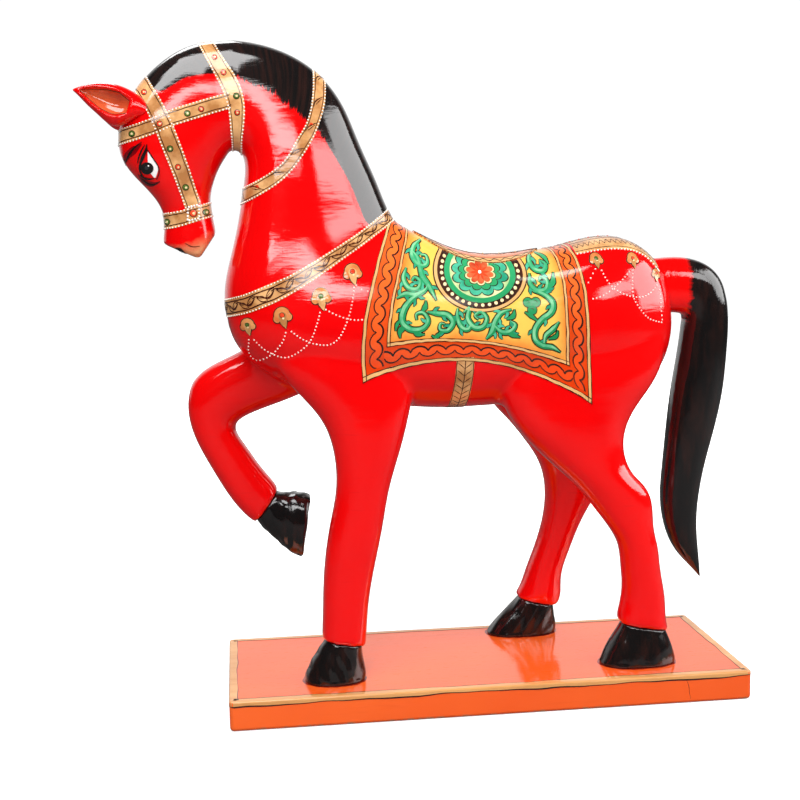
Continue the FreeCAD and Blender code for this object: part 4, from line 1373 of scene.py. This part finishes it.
swag_dots = Brush("swag_dots", paint("swag_paint", (0.94, 0.72, 0.66), (0.88, 0.50, 0.45), (0.4, 0.7), 60.0))
pendant_gold = Brush("pendants",
                     paint("pendant_paint", (0.70, 0.30, 0.10), (0.52, 0.12, 0.03), (0.35, 0.7), 110.0))
PENDANTS = [((-133.4, 221.5), 0.80, 0.15), ((-114.6, 226.6), 1.0, 0.2), ((-93.4, 236.4), 1.06, 0.12),
            ((-75.6, 249.4), 1.0, 0.1)]
RUMP_PENDANTS = [((63.4, 254.4), 0.74, 0.0), ((85.0, 254.2), 0.74, 0.0)]
SWAGS = [
    [(-133, 214.5), (-133.2, 206), (-129, 201.6), (-121.5, 205), (-115.4, 212), (-112.8, 218.6)],
    [(-131, 214.5), (-126, 209.3), (-120, 205.6), (-113, 203.9), (-106, 207.2), (-100, 213), (-96.2, 222),
     (-94, 229.6)],
    [(-111, 219.2), (-104.5, 214.4), (-98, 211.6), (-90, 210.8), (-84, 214.8), (-79, 225), (-76.2, 235),
     (-75, 243)],
    [(-91.4, 230.3), (-86, 227.3), (-80, 225), (-75, 224.1), (-71, 224.2)],
    [(-74, 243), (-71, 240.6), (-67.6, 239.6)],
    [(62, 249.6), (59.5, 246), (56.8, 241.8)],
    [(65, 249.4), (67.2, 243.8), (71.2, 238.6), (77, 235.3), (83, 233.5), (90, 233.6), (96, 236.6),
     (100, 240)],
    [(58.4, 232.8), (63, 234), (68, 236.4), (72, 239.4), (77, 243.4), (82, 248)],
    [(84, 249.2), (82.8, 241), (83, 233.5), (86, 228), (91.6, 221.8), (97, 219.4), (102.5, 218.2)],
    [(101.2, 237), (101.4, 231), (101.6, 225), (102.2, 219.5)],
]


def wave_line(sheet, middle, swing, count, lift):
    """A fine wave drawn along a sheet, round a share of its width."""
    grid = []
    for i in range(count * 8 + 1):
        share = middle + swing * math.sin(math.pi * i / 4)
        along_mm = sheet.length * i / (count * 8)
        grid.append([sheet.at(along_mm, share), sheet.at(along_mm, share + 0.020)])
    dark.slab(grid, lift, 0.2)


def linked_rings(sheet, swing, count, lift, heart):
    """Two crossing waves down the middle of a sheet, with a dot in every eye between them."""
    for side in (-1, 1):
        wave_line(sheet, 0.49, swing * side, count, lift)
    for i in range(2 * count):
        heart.bead(*sheet.at(sheet.length * (2 * i + 1) / (4 * count), 0.5), 0.8, lift + 0.3)


def pendant(ground, place, scale, tilt, number):
    """A three-lobed drop with a jewel."""
    x, z = place

    def spot(dx, dz):
        c, s = math.cos(tilt), math.sin(tilt)
        return x + scale * (dx * c - dz * s), z + scale * (dx * s + dz * c)

    cap = [(0.0, 1.0, 4.3), (-3.0, -0.6, 2.1), (3.0, -0.6, 2.1)]
    for dx, dz, size in cap:
        dark.blob(ground, spot(dx, dz), size * scale + 0.5, 0.22, 20, 2)
    for dx, dz, size in cap:
        pendant_gold.blob(ground, spot(dx, dz), size * scale, 0.32, 20, 2, dome=0.2)
    drop = [spot(0, -0.4), spot(0.1, -3.6), spot(0.5, -6.6)]
    dark.stroke(ground, drop, [5.2 * scale, 4.4 * scale, 0.7], 0.36)
    gold.stroke(ground, drop, [4.2 * scale, 3.4 * scale, 0.2], 0.5)
    gold.blob(ground, spot(0, 0.4), 2.3 * scale, 0.56, 14, 1)
    jewel = green_rings if number % 2 == 0 else red_rings
    dark.blob(ground, spot(0, 0.9), 1.5 * scale, 0.64, 12, 1)
    jewel.blob(ground, spot(0, 0.9), 1.2 * scale, 0.72, 12, 1, dome=0.15)
    jewel_hearts.blob(ground, spot(0.3, -0.9), 0.6 * scale, 0.72, 8, 1)


def dotted(ground, points):
    curve = smooth_curve(points)
    count = max(2, int(gaps(curve).sum() / BEAD_PITCH))
    for x, z in along(curve, np.linspace(0.02, 0.98, count)):
        swag_dots.bead(*ground.at(x, z), BEAD_RADIUS, 0.5)


def hangings():
    for ground in (LEFT, RIGHT):
        for number, (place, scale, tilt) in enumerate(PENDANTS + RUMP_PENDANTS):
            pendant(ground, place, scale, tilt, number)
        pendant(ground, (99.6, 245.5), 0.62, -0.2, 1)
        for points in SWAGS:
            dotted(ground, points)
    croup = column_sheet([(53.2, 257.6), (60, 258.9), (68, 260.0), (76, 260.4), (84, 259.8), (90, 258.2),
                          (95, 255.6), (99, 252.0), (103, 247.0)], 46, 32)
    gold.sheet(croup, 0.3)
    for edge, inner in ((0.0, 0.06), (1.0, 0.94)):
        lines.sheet(croup.grid(70, (inner - 0.006, inner + 0.006)), 0.4)
        bead_row(croup, edge)
    for middle, swing in ((0.20, 0.05), (0.80, -0.05)):
        wave_line(croup, middle, swing, 18, 0.42)
    for share in (0.34, 0.66):
        lines.sheet(croup.grid(70, (share - 0.005, share + 0.005)), 0.4)
    linked_rings(croup, 0.07, 5, 0.42, red_rings)
    girth()


def girth():
    """The strap under the belly, with leaf veins drawn along it."""
    strap = wrapped_sheet(GIRTH, 6, 80, False)
    gold.sheet(strap, 0.16)
    for share in (0.03, 0.97):
        lines.sheet(strap.strip(share - 0.02, share + 0.02, 2, wobble=0.25, seed=51), 0.26)
    ground = OnSheet(strap)
    lines.stroke(ground, [(0.5, 0), (strap.length / 2, 0.3), (strap.length - 0.5, 0)], [0.45, 0.45], 0.28)
    count = int(strap.length / 4.2)
    for i in range(count):
        s = strap.length * (i + 0.5) / count
        way = 1 if s < strap.length / 2 else -1
        for side in (-1, 1):
            lines.stroke(ground, [(s, 0.2 * side), (s - 1.6 * way, 2.0 * side), (s - 3.4 * way, 4.2 * side)],
                         [0.15, 0.55, 0.15], 0.28)


# ---- plinth edging ------------------------------------------------------------------------------

PLINTH_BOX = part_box("plinth")
CORNER = 2.5 * MM        # radius of the plinth's upright corners
ROUND_EDGE = 0.8 * MM    # radius along its top edge


class FlatFace:
    """Lays coordinates on a flat face of the plinth. spread() turns two of them into a place."""

    def __init__(self, spread, normal):
        self.spread = spread
        self.normal = Vector(normal)

    def at(self, first, second):
        return Vector(self.spread(first * MM, second * MM)), self.normal


def rim_point(share, inset, down):
    """A point and normal on the plinth's top edge: inset from the side, or down its side face."""
    (x0, y0, _), (x1, y1, top) = PLINTH_BOX
    length, width = (x1 - x0) - 2 * CORNER, (y1 - y0) - 2 * CORNER
    arc = math.pi * CORNER / 2
    total = 2 * (length + width) + 4 * arc
    reach = (share % 1.0) * total
    # Each side: its length, where it starts, the way along it and the way out of it.
    sides = [(length, (x0 + CORNER, y0, 0), (1, 0, 0), (0, -1, 0)),
             (width, (x1, y0 + CORNER, 0), (0, 1, 0), (1, 0, 0)),
             (length, (x1 - CORNER, y1, 0), (-1, 0, 0), (0, 1, 0)),
             (width, (x0, y1 - CORNER, 0), (0, -1, 0), (-1, 0, 0))]
    for span, start, ahead, out in sides:
        start, ahead, out = Vector(start), Vector(ahead), Vector(out)
        if reach <= span:
            place, facing = start + ahead * reach, out
            break
        reach -= span
        if reach <= arc:
            angle = reach / arc * math.pi / 2
            facing = out * math.cos(angle) + ahead * math.sin(angle)
            place = start + ahead * span - out * CORNER + facing * CORNER
            break
        reach -= arc
    place = place - facing * inset
    place.z = top - down
    return place, facing


def plinth_edging():
    """The gold line round the top edge, with a fine line inside it and a bold one under it."""
    front, top = PLINTH_BOX[0].y, PLINTH_BOX[1].z
    upward = Vector((0, 0, 1))
    rim_gold = Brush("plinth_gold_line", paint("plinth_gold", (0.68, 0.34, 0.12), (0.56, 0.24, 0.07),
                                               (0.35, 0.7), 30.0, (0.4, 3, 3)), "plinth_paint")
    rim_lines = Brush("plinth_dark_lines", paint("plinth_line", BLACK, LINE_BROWN), "plinth_paint")
    rng = random.Random(8)
    phases = [rng.uniform(0, 2 * math.pi) for _ in range(12)]

    def wave(share, seed, size):
        shifted = phases[seed:] + phases[:seed]
        return size * MM * ripple(2 * math.pi * share, (3, 5, 9, 14, 23, 37), shifted) / 6

    steps = 520
    band, fine, bold = [], [], []
    for i in range(steps):
        share = i / steps
        inner = 4.6 * MM + wave(share, 0, 0.9)
        lower = 1.5 * MM + wave(share, 5, 0.8)
        row = [(rim_point(share, inner + (ROUND_EDGE - inner) * k / 3, 0)[0], upward) for k in range(4)]
        for k in range(1, 4):
            sine, cosine = math.sin(math.pi / 2 * k / 4), math.cos(math.pi / 2 * k / 4)
            place, out = rim_point(share, ROUND_EDGE * (1 - sine), ROUND_EDGE * (1 - cosine))
            row.append((place, (out * sine + upward * cosine).normalized()))
        row += [rim_point(share, 0, ROUND_EDGE + lower * k / 2) for k in range(3)]
        band.append(row)
        edge = inner + 0.1 * MM
        width = (0.30 + 0.12 * math.sin(share * 90)) * MM
        fine.append([(rim_point(share, inset, 0)[0], upward) for inset in (edge + width, edge)])
        low = ROUND_EDGE + lower - 0.1 * MM
        thick = (0.6 + 0.25 * math.sin(share * 61 + 1)) * MM
        bold.append([rim_point(share, 0, low), rim_point(share, 0, low + thick)])
    rim_gold.slab(band, 0.10, 0.2, True)
    rim_lines.slab(fine, 0.16, 0.2, True)
    rim_lines.slab(bold, 0.18, 0.2, True)
    crack = [(110.5, top / MM - 2.6), (112.0, 10.6), (112.6, 6.0), (113.4, 2.6)]
    rim_lines.stroke(FlatFace(lambda x, z: (x, front, z), (0, -1, 0)), crack, [0.15, 0.3, 0.25, 0.1], 0.04)
    hoof_rims(top)


SQUARENESS = 2.3         # of the hooves' footprints: 2 is an ellipse


def hoof_rims(top):
    """The dark red paint smeared round the foot of each standing hoof."""
    plan = FlatFace(lambda x, y: (x, y, top), (0, 0, 1))
    smear = Brush("hoof_rims",
                  paint("smear_paint", (0.20, 0.012, 0.006), (0.42, 0.03, 0.008), (0.4, 0.7), 200.0),
                  "plinth_paint")
    for number, node in enumerate(HOOVES[:3]):
        points = np.array([v.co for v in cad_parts[node].data.vertices]) / MM
        foot = points[points[:, 2] < top / MM + 3][:, :2]
        centre = (foot.min(axis=0) + foot.max(axis=0)) / 2
        half = (foot.max(axis=0) - foot.min(axis=0)) / 2
        rng = random.Random(number)
        phases = [rng.uniform(0, 6.28) for _ in range(4)]

        def radius(angle):
            c, s = abs(math.cos(angle)) / half[0], abs(math.sin(angle)) / half[1]
            edge = 1 / (c ** SQUARENESS + s ** SQUARENESS) ** (1 / SQUARENESS)
            return edge + 0.7 + 0.8 * ripple(angle, (3, 5, 9, 16), phases) / 4

        smear.blob(plan, tuple(centre), radius, 0.05, 72, 2, depth=0.2)


# ---- stage --------------------------------------------------------------------------------------

# Soft lights: (name, place, aim, width, height, watts, roll in degrees, shows in reflections).
LIGHTS = [
    ("key", (-0.283, -1.187, 0.772), (-0.11, -0.03, 0.26), 0.8, 0.18, 3.5, 4, True),
    ("side_high", (0.640, -1.022, 0.712), (-0.085, -0.025, 0.30), 0.65, 0.30, 3.2, 0, True),
    ("side", (1.233, -0.339, 0.744), (0.0, 0.0, 0.30), 1.25, 0.93, 17.6, 0, True),
    ("over", (-0.441, -0.639, 1.343), (-0.15, -0.015, 0.36), 1.0, 0.8, 18, 0, True),
    ("fill", (-0.5, -1.3, 0.45), (0.0, 0.0, 0.15), 0.6, 0.6, 4.5, 0, False),
    ("far", (-0.4, 0.9, 1.4), (0.0, 0.0, 0.2), 0.7, 0.6, 8, 0, True),
    ("back", (0.3, 1.3, 0.6), (0.0, 0.0, 0.15), 0.9, 0.8, 9, 0, False),
]


def room():
    """A white backdrop; gloss reflects a pale wall behind the horse, and a dim room elsewhere."""
    world = Shader("studio", bpy.data.worlds, "Background")
    seen = world.ramp(world.node("LightPath", "Is Camera Ray"), 0.0, 1.0, 0.20, 1.05)
    heading = world.node("SeparateXYZ", "Y", Vector=world.node("TexCoord", "Generated"))
    wall = world.ramp(heading, 0.45, 0.85, 0.02, 0.85)
    mirrored = world.node("LightPath", "Is Glossy Ray")
    world.set(Color=(1, 1, 1), Strength=world.mix(mirrored, seen, wall, "FLOAT"))
    bpy.context.scene.world = world.owner


def floor():
    """Pale to the eye, but throws little light up; with distance it brightens into the backdrop."""
    size = FLOOR_SIZE
    corners = [(-size, -size, 0), (size, -size, 0), (size, size, 0), (-size, size, 0)]
    made = add_object("floor", new_mesh("floor", corners, [(0, 1, 2, 3)]))
    shader = Shader("floor_paint")
    seen, mirrored = (shader.node("LightPath", kind) for kind in ("Is Camera Ray", "Is Glossy Ray"))
    pale = shader.mix(shader.noise(shader.place(), 8.0), (0.93, 0.93, 0.93), (0.90, 0.90, 0.90))
    dim = shader.mix(mirrored, (0.22, 0.22, 0.22), (0.06, 0.06, 0.06))
    away = shader.node("VectorMath", "Value", {"operation": "LENGTH"}, Vector=shader.place())
    glow = shader.math("MULTIPLY", seen, shader.ramp(away, 0.25, 1.3, 0.3, 1.0))
    shader.set(Base_Color=shader.mix(seen, dim, pale), Roughness=0.7,
               Emission_Color=(1, 1, 1), Emission_Strength=glow)
    made.data.materials.append(shader.owner)


def soft_light(name, place, aim, width, height, watts, roll, mirrored):
    light = bpy.data.lights.new(name, "AREA")
    light.shape = "RECTANGLE"
    light.size, light.size_y, light.energy = width, height, watts
    made = add_object(name, light)
    made.location = place
    made.rotation_euler = (Vector(aim) - Vector(place)).to_track_quat("-Z", "Y").to_euler()
    made.rotation_euler.rotate_axis("Z", math.radians(roll))
    made.visible_glossy = mirrored


def camera():
    yaw, pitch, roll = (math.radians(a) for a in CAMERA_TURN)
    ahead = Vector((math.sin(yaw) * math.cos(pitch), math.cos(yaw) * math.cos(pitch), -math.sin(pitch)))
    level = Vector((math.cos(yaw), -math.sin(yaw), 0))
    right = level * math.cos(roll) + level.cross(ahead) * math.sin(roll)
    data = bpy.data.cameras.new("camera")
    data.sensor_width = SENSOR_WIDTH
    data.lens = CAMERA_LENS
    made = add_object("camera", data)
    turn = Matrix((right, right.cross(ahead), -ahead)).transposed().to_4x4()
    made.matrix_world = Matrix.Translation(CAMERA_PLACE) @ turn
    bpy.context.scene.camera = made


carved_body()
small_blocks()
harness()
face()
saddle_cloth()
hangings()
plinth_edging()
for brush in BRUSHES:
    brush.make()
room()
floor()
for light in LIGHTS:
    soft_light(*light)
camera()
bpy.context.scene.view_settings.view_transform = "Standard"
